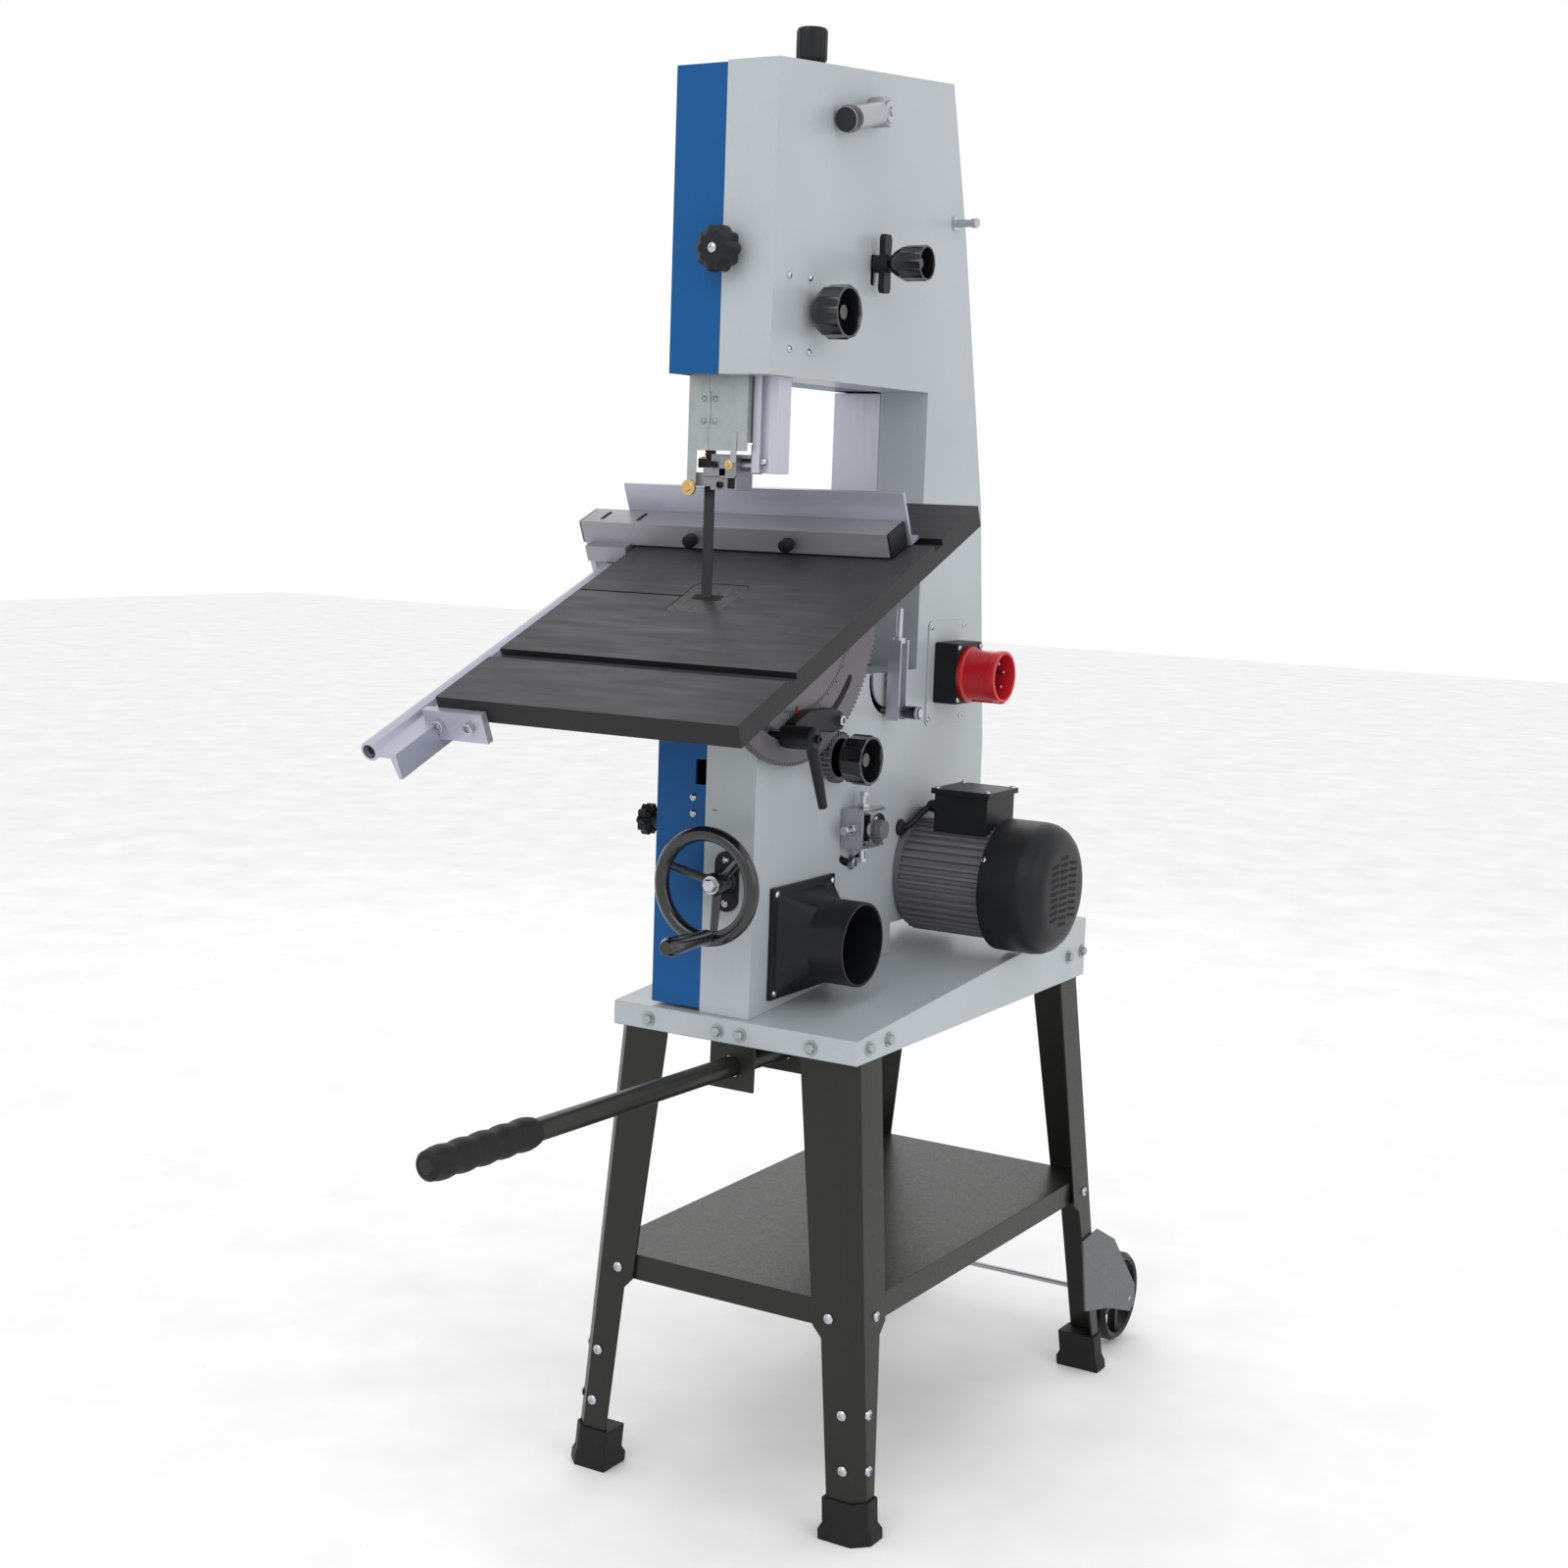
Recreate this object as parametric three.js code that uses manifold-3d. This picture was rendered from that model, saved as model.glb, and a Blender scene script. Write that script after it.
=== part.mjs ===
// Two-wheel workshop band saw on a sheet-metal stand, with its table tilted.
// Millimetres, +Z up. +X is the blade side, -X the column side, -Y the door side
// and +Y the motor side. The origin is the middle of the footprint, on the floor.
import * as THREE from "three";
import { mergeVertices } from "three/addons/utils/BufferGeometryUtils.js";
import Module from "manifold-3d";

const wasm = await Module();
wasm.setup();

// ---------------------------------------------------------------- driving dimensions
// Below, x = 0 is the blade-side face of the casing and y = 0 is its rear face.
const GAP = 0.4; // clearance between neighbouring pieces
const SHEET = 3; // casing sheet, folded
const DOOR_SHEET = 2.5;
const CASING_DEPTH = 69;
const DOOR_DEPTH = 69;
const FRONT = -(CASING_DEPTH + DOOR_DEPTH);

const WHEEL_X = -234; // both wheel axes
const WHEEL_R = 176; // over the rubber tyre
const LOWER_Z = 803;
const UPPER_Z = 1533;
const WHEEL_Y = [-126, -100];
const BLADE_Y = [-120, -106];
const BLADE_T = 0.9;

const STAND_X = [-642, 8];
const STAND_Y = [-188, 152];
const FLANGE_Z = 566; // lower edge of the base plate's skirt
const PLATE_Z = 595.3; // top of the base plate at its blade-side edge
const PLATE_RISE = 0.0781; // it climbs towards the column
const SHELF_Z = [250, 282];
const SPLAY = {
  near: { x: 17, y: 43 }, // how far each foot stands out from the skirt
  far: { x: 38, y: 51 },
};
const LEG_BEND = 560; // the legs are upright above this height
const LEG_TOP = 588;

const HOUSING_TOP = 993; // lower housing
const UPPER_FLOOR = 1349; // underside of the upper housing
const TOP_Z = 1700; // casing top at the blade side
const DOOR_X = -430; // hinge side of both doors
const COLUMN_X = -392; // throat face of the column

const TILT = 23.3; // degrees, blade side down
const PIVOT = { x: -57, z: 1088 }; // table tilt axis, in the table's top surface
const TABLE_A = [-302, 298]; // table extents from the pivot, along its own surface
const TABLE_Y = [-302, 107];
const TABLE_EDGE = 27;

const MODULE = 2;
const SECTOR_R = 190; // pitch radii
const PINION_R = 30;
const PINION_DIR = -119.7; // degrees, from the tilt axis to the pinion
const SECTOR_Y = [10, 18];
const CLAMP_R = 157; // slot radius in the sector

const MOTOR = { x: -420, z: 720, r: 74, cowl: 86, end: 212 };
const PULLEY_Y = [-62, -46];
const PULLEY_R = 95;
const MOTOR_PULLEY_R = 32;
const HANDWHEEL = { y: -34.5, z: 759, rim: 62, plane: 47 };

// ---------------------------------------------------------------- solids
const rad = THREE.MathUtils.degToRad;

// A closed geometry as a solid with its faces pointing out.
function solid(geometry) {
  const bare = geometry.index ? geometry.toNonIndexed() : geometry.clone();
  bare.deleteAttribute("normal");
  bare.deleteAttribute("uv");
  const merged = mergeVertices(bare, 1e-4);
  const vertProperties = new Float32Array(merged.attributes.position.array);
  const triVerts = new Uint32Array(merged.index.array);
  const made = new wasm.Manifold(new wasm.Mesh({ numProp: 3, vertProperties, triVerts }));
  if (made.volume() >= 0) return made;
  for (let i = 0; i < triVerts.length; i += 3) {
    [triVerts[i + 1], triVerts[i + 2]] = [triVerts[i + 2], triVerts[i + 1]];
  }
  return new wasm.Manifold(new wasm.Mesh({ numProp: 3, vertProperties, triVerts }));
}

function geometryOf(made) {
  const mesh = made.getMesh();
  const position = new Float32Array(mesh.numVert * 3);
  for (let i = 0; i < mesh.numVert; i++) {
    position.set(mesh.vertProperties.subarray(i * mesh.numProp, i * mesh.numProp + 3), i * 3);
  }
  const indexed = new THREE.BufferGeometry()
    .setAttribute("position", new THREE.BufferAttribute(position, 3))
    .setIndex(new THREE.BufferAttribute(mesh.triVerts, 1));
  const flat = indexed.toNonIndexed();
  flat.computeVertexNormals();
  return flat;
}

const box = (x, y, z) =>
  solid(
    new THREE.BoxGeometry(x[1] - x[0], y[1] - y[0], z[1] - z[0]).translate(
      (x[0] + x[1]) / 2,
      (y[0] + y[1]) / 2,
      (z[0] + z[1]) / 2,
    ),
  );

// An outline pushed straight along one axis. Outlines are (x, z) along y, (y, z) along x
// and (x, y) along z. Holes are outlines too.
function prism(axis, outline, span, holes = []) {
  const shape = new THREE.Shape(outline.map(([u, v]) => new THREE.Vector2(u, v)));
  for (const hole of holes) {
    shape.holes.push(new THREE.Path(hole.map(([u, v]) => new THREE.Vector2(u, v))));
  }
  const depth = span[1] - span[0];
  const made = new THREE.ExtrudeGeometry(shape, { depth, bevelEnabled: false });
  if (axis === "z") return solid(made.translate(0, 0, span[0]));
  if (axis === "y") return solid(made.rotateX(Math.PI / 2).translate(0, span[1], 0));
  const basis = new THREE.Matrix4().makeBasis(
    new THREE.Vector3(0, 1, 0),
    new THREE.Vector3(0, 0, 1),
    new THREE.Vector3(1, 0, 0),
  );
  return solid(made.applyMatrix4(basis).translate(span[0], 0, 0));
}

// A profile of [radius, station] points turned about an axis through `centre`.
function turned(axis, centre, profile, segments = 32) {
  const points = profile.map(([r, s]) => new THREE.Vector2(r, s));
  const made = new THREE.LatheGeometry(points, segments);
  if (axis === "x") made.rotateZ(-Math.PI / 2);
  if (axis === "z") made.rotateX(Math.PI / 2);
  return solid(made.translate(...centre));
}

const rod = (axis, centre, r, span, segments = 20) =>
  turned(axis, centre, [[0, span[0]], [r, span[0]], [r, span[1]], [0, span[1]]], segments);

// Closed rings of equal point count joined into one skin. `flat` picks the two
// coordinates in which a ring's ends are filled.
function loft(rings, flat) {
  const count = rings[0].length;
  const cap = THREE.ShapeUtils.triangulateShape(
    rings[0].map((p) => new THREE.Vector2(p[flat[0]], p[flat[1]])),
    [],
  );
  const turn = THREE.ShapeUtils.area(
    rings[0].map((p) => new THREE.Vector2(p[flat[0]], p[flat[1]])),
  );
  const ordered = turn < 0 ? rings.map((ring) => [...ring].reverse()) : rings;
  const filled = turn < 0 ? cap.map((t) => t.map((i) => count - 1 - i)) : cap;
  const index = [];
  ordered.slice(1).forEach((_, level) => {
    for (let i = 0; i < count; i++) {
      const [a, b] = [level * count + i, level * count + ((i + 1) % count)];
      index.push(a, b, b + count, a, b + count, a + count);
    }
  });
  const last = (rings.length - 1) * count;
  for (const [a, b, c] of filled) {
    const area = signedArea(ordered[0], flat, a, b, c);
    const [p, q, r] = area > 0 ? [a, b, c] : [a, c, b];
    index.push(p, r, q, last + p, last + q, last + r);
  }
  const made = new THREE.BufferGeometry().setIndex(index);
  made.setAttribute("position", new THREE.Float32BufferAttribute(ordered.flat(2), 3));
  return solid(made);
}

function signedArea(ring, [u, v], a, b, c) {
  const [p, q, r] = [ring[a], ring[b], ring[c]];
  return (q[u] - p[u]) * (r[v] - p[v]) - (r[u] - p[u]) * (q[v] - p[v]);
}

const circle = ([u, v], r, count = 32, from = 0) =>
  Array.from({ length: count }, (_, i) => {
    const angle = rad(from) + (2 * Math.PI * i) / count;
    return [u + r * Math.cos(angle), v + r * Math.sin(angle)];
  });

const polar = ([u, v], r, angle) => [
  u + r * Math.cos(rad(angle)),
  v + r * Math.sin(rad(angle)),
];

const arc = (centre, r, from, to, steps) =>
  Array.from({ length: steps + 1 }, (_, i) => polar(centre, r, from + ((to - from) * i) / steps));

const rect = ([u0, u1], [v0, v1]) => [[u0, v0], [u1, v0], [u1, v1], [u0, v1]];

function roundedRect([u0, u1], [v0, v1], r, steps = 3) {
  return [
    ...arc([u1 - r, v0 + r], r, -90, 0, steps),
    ...arc([u1 - r, v1 - r], r, 0, 90, steps),
    ...arc([u0 + r, v1 - r], r, 90, 180, steps),
    ...arc([u0 + r, v0 + r], r, 180, 270, steps),
  ];
}

// An arc-shaped slot with round ends.
const arcSlot = (centre, r, half, from, to, steps = 12) => [
  ...arc(centre, r + half, from, to, steps),
  ...arc(polar(centre, r, to), half, to, to + 180, 4).slice(1, -1),
  ...arc(centre, r - half, to, from, steps),
  ...arc(polar(centre, r, from), half, from + 180, from + 360, 4).slice(1, -1),
];

// The outline moved inwards by t, with mitred corners; it runs anticlockwise.
function inset(outline, t) {
  const ring = THREE.ShapeUtils.area(outline.map(([u, v]) => new THREE.Vector2(u, v))) < 0
    ? [...outline].reverse()
    : outline;
  const count = ring.length;
  const inward = (i) => {
    const [[u0, v0], [u1, v1]] = [ring[i], ring[(i + 1) % count]];
    const length = Math.hypot(u1 - u0, v1 - v0);
    return [-(v1 - v0) / length, (u1 - u0) / length];
  };
  return ring.map(([u, v], i) => {
    const [a, b] = [inward((i + count - 1) % count), inward(i)];
    const scale = t / (1 + a[0] * b[0] + a[1] * b[1]);
    return [u + (a[0] + b[0]) * scale, v + (a[1] + b[1]) * scale];
  });
}

// The line round two wheels, as a belt lies on them.
function beltOutline(c1, r1, c2, r2, steps) {
  const towards = THREE.MathUtils.radToDeg(Math.atan2(c2[1] - c1[1], c2[0] - c1[0]));
  const wrap = THREE.MathUtils.radToDeg(
    Math.acos((r1 - r2) / Math.hypot(c2[0] - c1[0], c2[1] - c1[1])),
  );
  return [
    ...arc(c1, r1, towards + wrap, towards + 360 - wrap, steps),
    ...arc(c2, r2, towards - wrap, towards + wrap, steps),
  ];
}

// Straight-sided gear teeth centred on `first` degrees plus whole pitches.
function teeth(centre, r, first, from, to) {
  const pitch = THREE.MathUtils.radToDeg((Math.PI * MODULE) / r);
  const points = [];
  const start = Math.ceil((from - first) / pitch);
  const stop = Math.floor((to - first) / pitch);
  for (let k = start; k <= stop; k++) {
    const middle = first + k * pitch;
    for (const [radius, offset] of [[-1.3, -0.31], [0.9, -0.13], [0.9, 0.13], [-1.3, 0.31]]) {
      points.push(polar(centre, r + radius * MODULE, middle + offset * pitch));
    }
  }
  return points;
}

// A hand knob shaped like a fluted cup on a cone, open at its outer end.
// Stations run outwards from its back.
function cupKnob(axis, centre, r, from, length, segments = 24) {
  const cone = from + length * 0.36;
  const mouth = from + length;
  const profile = [
    [0, from],
    [r * 0.5, from],
    [r, cone],
    [r, mouth],
    [r * 0.84, mouth],
    [r * 0.8, cone + 2],
    [0, cone + 2],
  ];
  return turned(axis, centre, profile, segments);
}

const join = (first, ...others) => others.reduce((sum, next) => sum.add(next), first);
const cut = (first, ...others) => others.reduce((rest, next) => rest.subtract(next), first);

// ---------------------------------------------------------------- materials
const finish = (color, roughness, metalness) => ({ color, roughness, metalness });
const PAINT = finish(0xbec4c8, 0.45, 0.1);
const BLUE = finish(0x005c98, 0.35, 0.1);
const STAND = finish(0x2d2e28, 0.4, 0.2);
const CAST = finish(0x4b4a4e, 0.6, 0.4);
const BLACK = finish(0x191c1e, 0.45, 0);
const STEEL = finish(0xa8acb0, 0.35, 0.9);
const ALU = finish(0xb2b4c5, 0.4, 0.8);
const RUBBER = finish(0x141414, 0.85, 0);
const RED = finish(0xcd1e28, 0.4, 0);

const saw = new THREE.Group();
const tableGroup = new THREE.Group();
tableGroup.position.set(PIVOT.x, 0, PIVOT.z);
tableGroup.rotation.y = rad(TILT);
saw.add(tableGroup);

function piece(name, made, look, parent = saw) {
  const mesh = new THREE.Mesh(geometryOf(made), new THREE.MeshStandardMaterial(look));
  mesh.name = name;
  parent.add(mesh);
}

// ---------------------------------------------------------------- stand
const plateTop = (x) => PLATE_Z + PLATE_RISE * (STAND_X[1] - x);

function basePlate() {
  const [far, near] = STAND_X;
  const outer = [[near, FLANGE_Z], [near, plateTop(near)], [far, plateTop(far)], [far, FLANGE_Z]];
  const [a, b] = [far + SHEET, near - SHEET];
  const inner = [[b, 0], [b, plateTop(b) - SHEET], [a, plateTop(a) - SHEET], [a, 0]];
  const hollow = prism("y", inner, [STAND_Y[0] + SHEET, STAND_Y[1] - SHEET]);
  return cut(prism("y", outer, STAND_Y), hollow);
}

// One leg's section at a height: a folded angle with a flattened corner. The leg
// stands at the corner (sx, sy) of the stand and splays outwards to the floor. Its
// flanges are cut back below the shelf.
function legRing(sx, sy, z, grow = 0) {
  const down = Math.max(0, 1 - z / LEG_BEND);
  const splay = sx > 0 ? SPLAY.near : SPLAY.far;
  const x = (sx > 0 ? STAND_X[1] : STAND_X[0]) - sx * (SHEET + GAP) + sx * (splay.x * down + grow);
  const y = (sy > 0 ? STAND_Y[1] : STAND_Y[0]) - sy * (SHEET + GAP) + sy * (splay.y * down + grow);
  const t = 3 + 2 * grow;
  const fold = 14 + grow * 0.6;
  const below = z < SHELF_Z[0];
  const wideX = (below ? 28 + z * 0.1 : 66) + grow * 2;
  const wideY = (below ? 46 + z * 0.02 : 62 + (z - SHELF_Z[0]) * 0.035) + grow * 2;
  const inner = fold + t * 0.42;
  const corner = [
    [0, wideY], [0, fold], [fold, 0], [wideX, 0],
    [wideX, t], [inner, t], [t, inner], [t, wideY],
  ];
  return corner.map(([u, v]) => [x - sx * u, y - sy * v, z]);
}

const legStations = [7, SHELF_Z[0] - 12, SHELF_Z[0] + 1, LEG_BEND, LEG_TOP];
const leg = (sx, sy) => loft(legStations.map((z) => legRing(sx, sy, z)), [0, 1]);

// A moulded boot round the leg's end, flared where it meets the floor.
function foot(sx, sy) {
  const ring = (z, flare) => {
    const section = legRing(sx, sy, z);
    const [ox, oy] = [section[0][0], section[3][1]];
    const [wideX, wideY] = [33 + flare, 49 + flare];
    const at = [[-flare, wideY], [-flare, 11], [11, -flare], [wideX, -flare], [wideX, wideY]];
    return at.map(([u, v]) => [ox - sx * u, oy - sy * v, z]);
  };
  const boot = loft([ring(0, 7), ring(12, 7), ring(20, 3), ring(50, 3)], [0, 1]);
  const socket = loft([7 - GAP, 54].map((z) => legRing(sx, sy, z, GAP)), [0, 1]);
  return cut(boot, socket);
}

function shelf() {
  const at = 1 - SHELF_Z[1] / LEG_BEND;
  const near = STAND_X[1] + SPLAY.near.x * at - 8;
  const far = STAND_X[0] - SPLAY.far.x * at + 8;
  const sides = [SPLAY.far.y * at - 8, SPLAY.near.y * at - 8];
  const c = 16; // corner chamfer
  const ring = (t) => {
    const [x0, x1] = [far + t, near - t];
    const low = sides.map((side) => STAND_Y[0] - side + t);
    const high = sides.map((side) => STAND_Y[1] + side - t);
    return [
      [x0 + c, low[0]], [x1 - c, low[1]], [x1, low[1] + c], [x1, high[1] - c],
      [x1 - c, high[1]], [x0 + c, high[0]], [x0, high[0] - c], [x0, low[0] + c],
    ];
  };
  const [low, high] = SHELF_Z;
  return cut(prism("z", ring(0), [low, high]), prism("z", ring(2.5), [low - 1, high - 2.5]));
}

function basePlateAndLegs() {
  piece("base_plate", basePlate(), PAINT);
  for (const [end, sx] of [["near", 1], ["far", -1]]) {
    for (const [side, sy] of [["front", -1], ["rear", 1]]) {
      piece(`leg_${side}_${end}`, leg(sx, sy), STAND);
      piece(`foot_${side}_${end}`, foot(sx, sy), RUBBER);
    }
  }
  piece("shelf", shelf(), STAND);
}
basePlateAndLegs();

// Pull-out lifting bar in its bracket, at the blade end. It rises slightly outwards.
const LIFT = { y: -20, z: 538, rise: 1.4, r: 12.5, grip: 15.5 };
const liftGroup = new THREE.Group();
liftGroup.position.set(0, LIFT.y, LIFT.z);
liftGroup.rotation.y = -rad(LIFT.rise);
saw.add(liftGroup);

function liftBar() {
  const [inner, gripStart, end] = [-190, 390, 562];
  const profile = [
    [0, inner], [LIFT.r, inner], [LIFT.r, gripStart], [LIFT.grip, gripStart + 5],
    [LIFT.grip, end - 8], [LIFT.grip - 8, end], [0, end],
  ];
  return turned("x", [0, 0, 0], profile, 20);
}
function liftBracket() {
  const walls = [[0, 3.5], [-124, -120]].map((x) => box(x, [-30, 32], [-28, 45]));
  const web = box([-124, 3.5], [-30, 32], [41.5, 45]);
  const bore = rod("x", [0, 0, 0], LIFT.r + GAP, [-130, 6]);
  return cut(join(web, ...walls), bore);
}
piece("lift_bar", liftBar(), STAND, liftGroup);
piece("lift_bracket", liftBracket(), STAND, liftGroup);

// Transport wheels behind the column-side feet, on one axle.
const CASTER = { x: -770, z: 68, r: 64, width: 26, outer: 184 };
const STAND_MID = (STAND_Y[0] + STAND_Y[1]) / 2;

// A plate bolted flat against the sloping side of a leg, reaching back to the axle.
function casterBracket(sy) {
  const outline = [
    [-612, 96], [-612, 196], [-664, 200], [-722, 170], [-790, 84],
    [-787, 58], [-768, 50], [-690, 78],
  ];
  const face = STAND_Y[1] - SHEET - GAP + SPLAY.far.y;
  const plate = geometryOf(prism("y", outline, [0, 3]));
  plate.rotateX(Math.atan2(SPLAY.far.y, LEG_BEND)).translate(0, face + GAP + 0.2, 0);
  if (sy < 0) plate.scale(1, -1, 1).translate(0, 2 * STAND_MID, 0);
  return cut(solid(plate), rod("y", [CASTER.x, 0, CASTER.z], 4 + GAP, [-300, 300], 12));
}

function caster(sy) {
  const rear = CASTER.outer - CASTER.width / 2;
  const middle = sy > 0 ? rear : 2 * STAND_MID - rear;
  const w = CASTER.width / 2;
  const { r } = CASTER;
  const tread = [
    [r - 11, -w + 2], [r - 5, -w], [r, -w + 6], [r, w - 6], [r - 5, w], [r - 11, w - 2],
  ];
  const hub = [[4 + GAP, -w], [14, -w], [14, w], [4 + GAP, w]];
  const closed = (profile) => [...profile, profile[0]];
  const rim = turned("y", [0, 0, 0], closed(tread), 40);
  const boss = turned("y", [0, 0, 0], closed(hub), 20);
  const spokes = [0, 1, 2, 3, 4].map((k) => {
    const bar = new THREE.BoxGeometry(r - 22, 12, 9).translate((r - 22) / 2 + 12.5, 0, 0);
    return solid(bar.rotateY(rad(k * 72 + 20)));
  });
  const shape = geometryOf(join(rim, boss, ...spokes));
  return solid(shape.translate(CASTER.x, middle, CASTER.z));
}

for (const [side, sy] of [["front", -1], ["rear", 1]]) {
  piece(`caster_bracket_${side}`, casterBracket(sy), STAND);
  piece(`caster_${side}`, caster(sy), RUBBER);
}
const axleEnd = CASTER.outer + 13;
piece(
  "caster_axle",
  rod("y", [CASTER.x, 0, CASTER.z], 4, [2 * STAND_MID - axleEnd, axleEnd], 12),
  STEEL,
);

// ---------------------------------------------------------------- casing and doors
const casingOutline = [
  [0, plateTop(0) + GAP], [0, 925], [-90, HOUSING_TOP], [COLUMN_X, HOUSING_TOP],
  [COLUMN_X, UPPER_FLOOR], [0, UPPER_FLOOR], [0, TOP_Z], [-429, 1740], [-480, 1560],
  [-562, 1206], [-600, 880], [-600, 800], [-520, 662], [-348, 662], [-348, plateTop(-348) + GAP],
];
// Its lower edge steps up near the hinge, so that the open door clears the rising plate.
const lowerDoorOutline = [
  [0, 600.4], [0, 923], [-91, HOUSING_TOP - 2], [DOOR_X, HOUSING_TOP - 2], [DOOR_X, 727],
  [-348, 657], [-348, 639], [-312, 636], [-265, 621.5],
];
const upperDoorOutline = [
  [0, UPPER_FLOOR], [0, TOP_Z - 2], [DOOR_X + 1, 1738], [DOOR_X + 1, UPPER_FLOOR],
];

const PINION = {
  x: PIVOT.x + (SECTOR_R + PINION_R) * Math.cos(rad(PINION_DIR)),
  z: PIVOT.z + (SECTOR_R + PINION_R) * Math.sin(rad(PINION_DIR)),
};
const LEVER = { x: -27, z: PIVOT.z - Math.sqrt(CLAMP_R ** 2 - 30 ** 2) };
const HEIGHT_KNOB = { x: -98, z: 1426 };
const TRACKING = { x: WHEEL_X, z: 1495 };
const CAM = { x: -214, z: 1671 };
const TENSION = { x: -165, y: -57 };
const STOP = { x: -312, z: 985, r: 41 };
const DUST = { x: -113.5, z: 681 };
const POST = { x: [-75, -46], y: [-49, -15] };
const IDLER_SLOT_R = 46;

function casing() {
  const shell = prism("y", casingOutline, [-CASING_DEPTH, 0]);
  const hollow = prism("y", inset(casingOutline, SHEET), [-CASING_DEPTH + SHEET, -SHEET]);
  const face = [-CASING_DEPTH - 1, -CASING_DEPTH + SHEET + 1];
  const lowerMouth = inset(lowerDoorOutline, 3.5);
  const upperMouth = inset(upperDoorOutline, 3.5);
  const wall = [-SHEET - 1, 1];
  const holes = [
    prism("y", lowerMouth, face),
    prism("y", upperMouth, face),
    rod("y", [WHEEL_X, 0, LOWER_Z], 21.5, wall, 28),
    rod("y", [MOTOR.x, 0, MOTOR.z], 14, wall),
    rod("y", [DUST.x, 0, DUST.z], 46, wall, 32),
    rod("y", [HEIGHT_KNOB.x, 0, HEIGHT_KNOB.z], 6.5, wall, 12),
    rod("y", [CAM.x, 0, CAM.z], 8.5, wall, 16),
    rod("y", [PINION.x, 0, PINION.z], 7.5, wall, 12),
    rod("y", [LEVER.x, 0, LEVER.z], 5 + GAP, wall, 12),
    rod("y", [STOP.x, 0, STOP.z], 5 + GAP, wall, 12),
    rod("y", [-363, 0, 787], 7, wall, 12),
    prism("y", arcSlot([STOP.x, STOP.z], STOP.r, 5, -95, 5), wall),
    prism("y", arcSlot([WHEEL_X, LOWER_Z], IDLER_SLOT_R, 5, -122, -58), wall),
    prism("y", roundedRect([TRACKING.x - 6, TRACKING.x + 6], [TRACKING.z - 26, TRACKING.z + 12], 5), wall),
    rod("x", [0, HANDWHEEL.y, HANDWHEEL.z], 7.5, wall, 12),
    rod("x", [0, -62, 1488], 5 + GAP, wall, 12),
    rod("z", [TENSION.x, TENSION.y, 0], 6.5, [TOP_Z - 5, TOP_Z + 25], 12),
    prism("z", rect([POST.x[0] - 8, POST.x[1] + 1], [POST.y[0] - 4, POST.y[1] + 1]), [1345, 1355]),
    box([-46, -33], [-75, -46], [1345, 1355]),
  ];
  const bridge = cut(
    box([-200, -130], [-66, -1], [1688, 1700]),
    rod("z", [TENSION.x, TENSION.y, 0], 5 + GAP, [1680, 1710], 16),
  );
  return join(cut(shell, hollow, ...holes), bridge);
}

// A door is a tray, open towards the casing, with gaps in its rim where the blade runs.
function door(outline, gaps) {
  const span = [FRONT, -CASING_DEPTH - 0.5];
  const tray = prism("y", outline, span);
  const hollow = prism("y", inset(outline, DOOR_SHEET), [FRONT + DOOR_SHEET, span[1] + 1]);
  const slots = gaps.map(([x, z]) => box(x, [FRONT + 5, span[1] + 1], z));
  return cut(tray, hollow, ...slots);
}

piece("casing", casing(), PAINT);
piece(
  "upper_door",
  door(upperDoorOutline, [
    [[-88, -5], [1340, 1355]],
    [[-427, -374], [1340, 1355]],
  ]),
  BLUE,
);
piece(
  "lower_door",
  cut(
    door(lowerDoorOutline, [
      [[-88, -24], [935, 1000]],
      [[-427, -374], [980, 1000]],
    ]),
    box([-4, 1], [-84, -60], [870, 900]),
  ),
  BLUE,
);

function columnCover() {
  const x = [-440, COLUMN_X];
  const y = [FRONT, -CASING_DEPTH - GAP];
  const z = [HOUSING_TOP + 1, UPPER_FLOOR - 1.5];
  return cut(box(x, y, z), box([x[0] + 2, x[1] - 2], [y[0] + 2, y[1] + 1], [z[0] - 1, z[1] + 1]));
}
piece("column_cover", columnCover(), ALU);

// ---------------------------------------------------------------- wheels, blade and drive
const ringHoles = (count, at, r, span, centre) =>
  circle([centre[0], centre[1]], at, count, 18).map(([u, v]) => rod("y", [u, 0, v], r, span, 16));

function wheelDisc(z, hubBack) {
  const [front, back] = WHEEL_Y;
  const r = WHEEL_R;
  const rim = [
    [0, front + 4], [26, front + 4], [30, front + 9], [r - 16, front + 10], [r - 14, front],
    [r, front], [r, back], [r - 14, back], [r - 16, back - 8], [30, back - 7], [28, hubBack],
    [0, hubBack],
  ];
  const disc = turned("y", [WHEEL_X, 0, z], rim, 56);
  const holes = ringHoles(5, 96, 34, [front - 1, back + 1], [WHEEL_X, z]);
  return cut(disc, ...holes);
}

function lowerWheel() {
  const [back, out] = PULLEY_Y;
  const groove = [
    [0, back], [PULLEY_R - 1, back], [PULLEY_R, back + 2], [PULLEY_R, out - 2],
    [PULLEY_R - 1, out], [0, out],
  ];
  const pulley = turned("y", [WHEEL_X, 0, LOWER_Z], groove, 48);
  const lightening = ringHoles(5, 62, 17, [back - 1, out + 1], [WHEEL_X, LOWER_Z]);
  const shaft = rod("y", [WHEEL_X, 0, LOWER_Z], 12, [WHEEL_Y[0] + 4, 47], 24);
  return join(cut(pulley, ...lightening), wheelDisc(LOWER_Z, back + 1), shaft);
}

piece("lower_wheel", lowerWheel(), CAST);
piece(
  "upper_wheel",
  cut(wheelDisc(UPPER_Z, -92), rod("y", [WHEEL_X, 0, UPPER_Z], 10 + GAP, [-140, -80], 20)),
  CAST,
);

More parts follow.
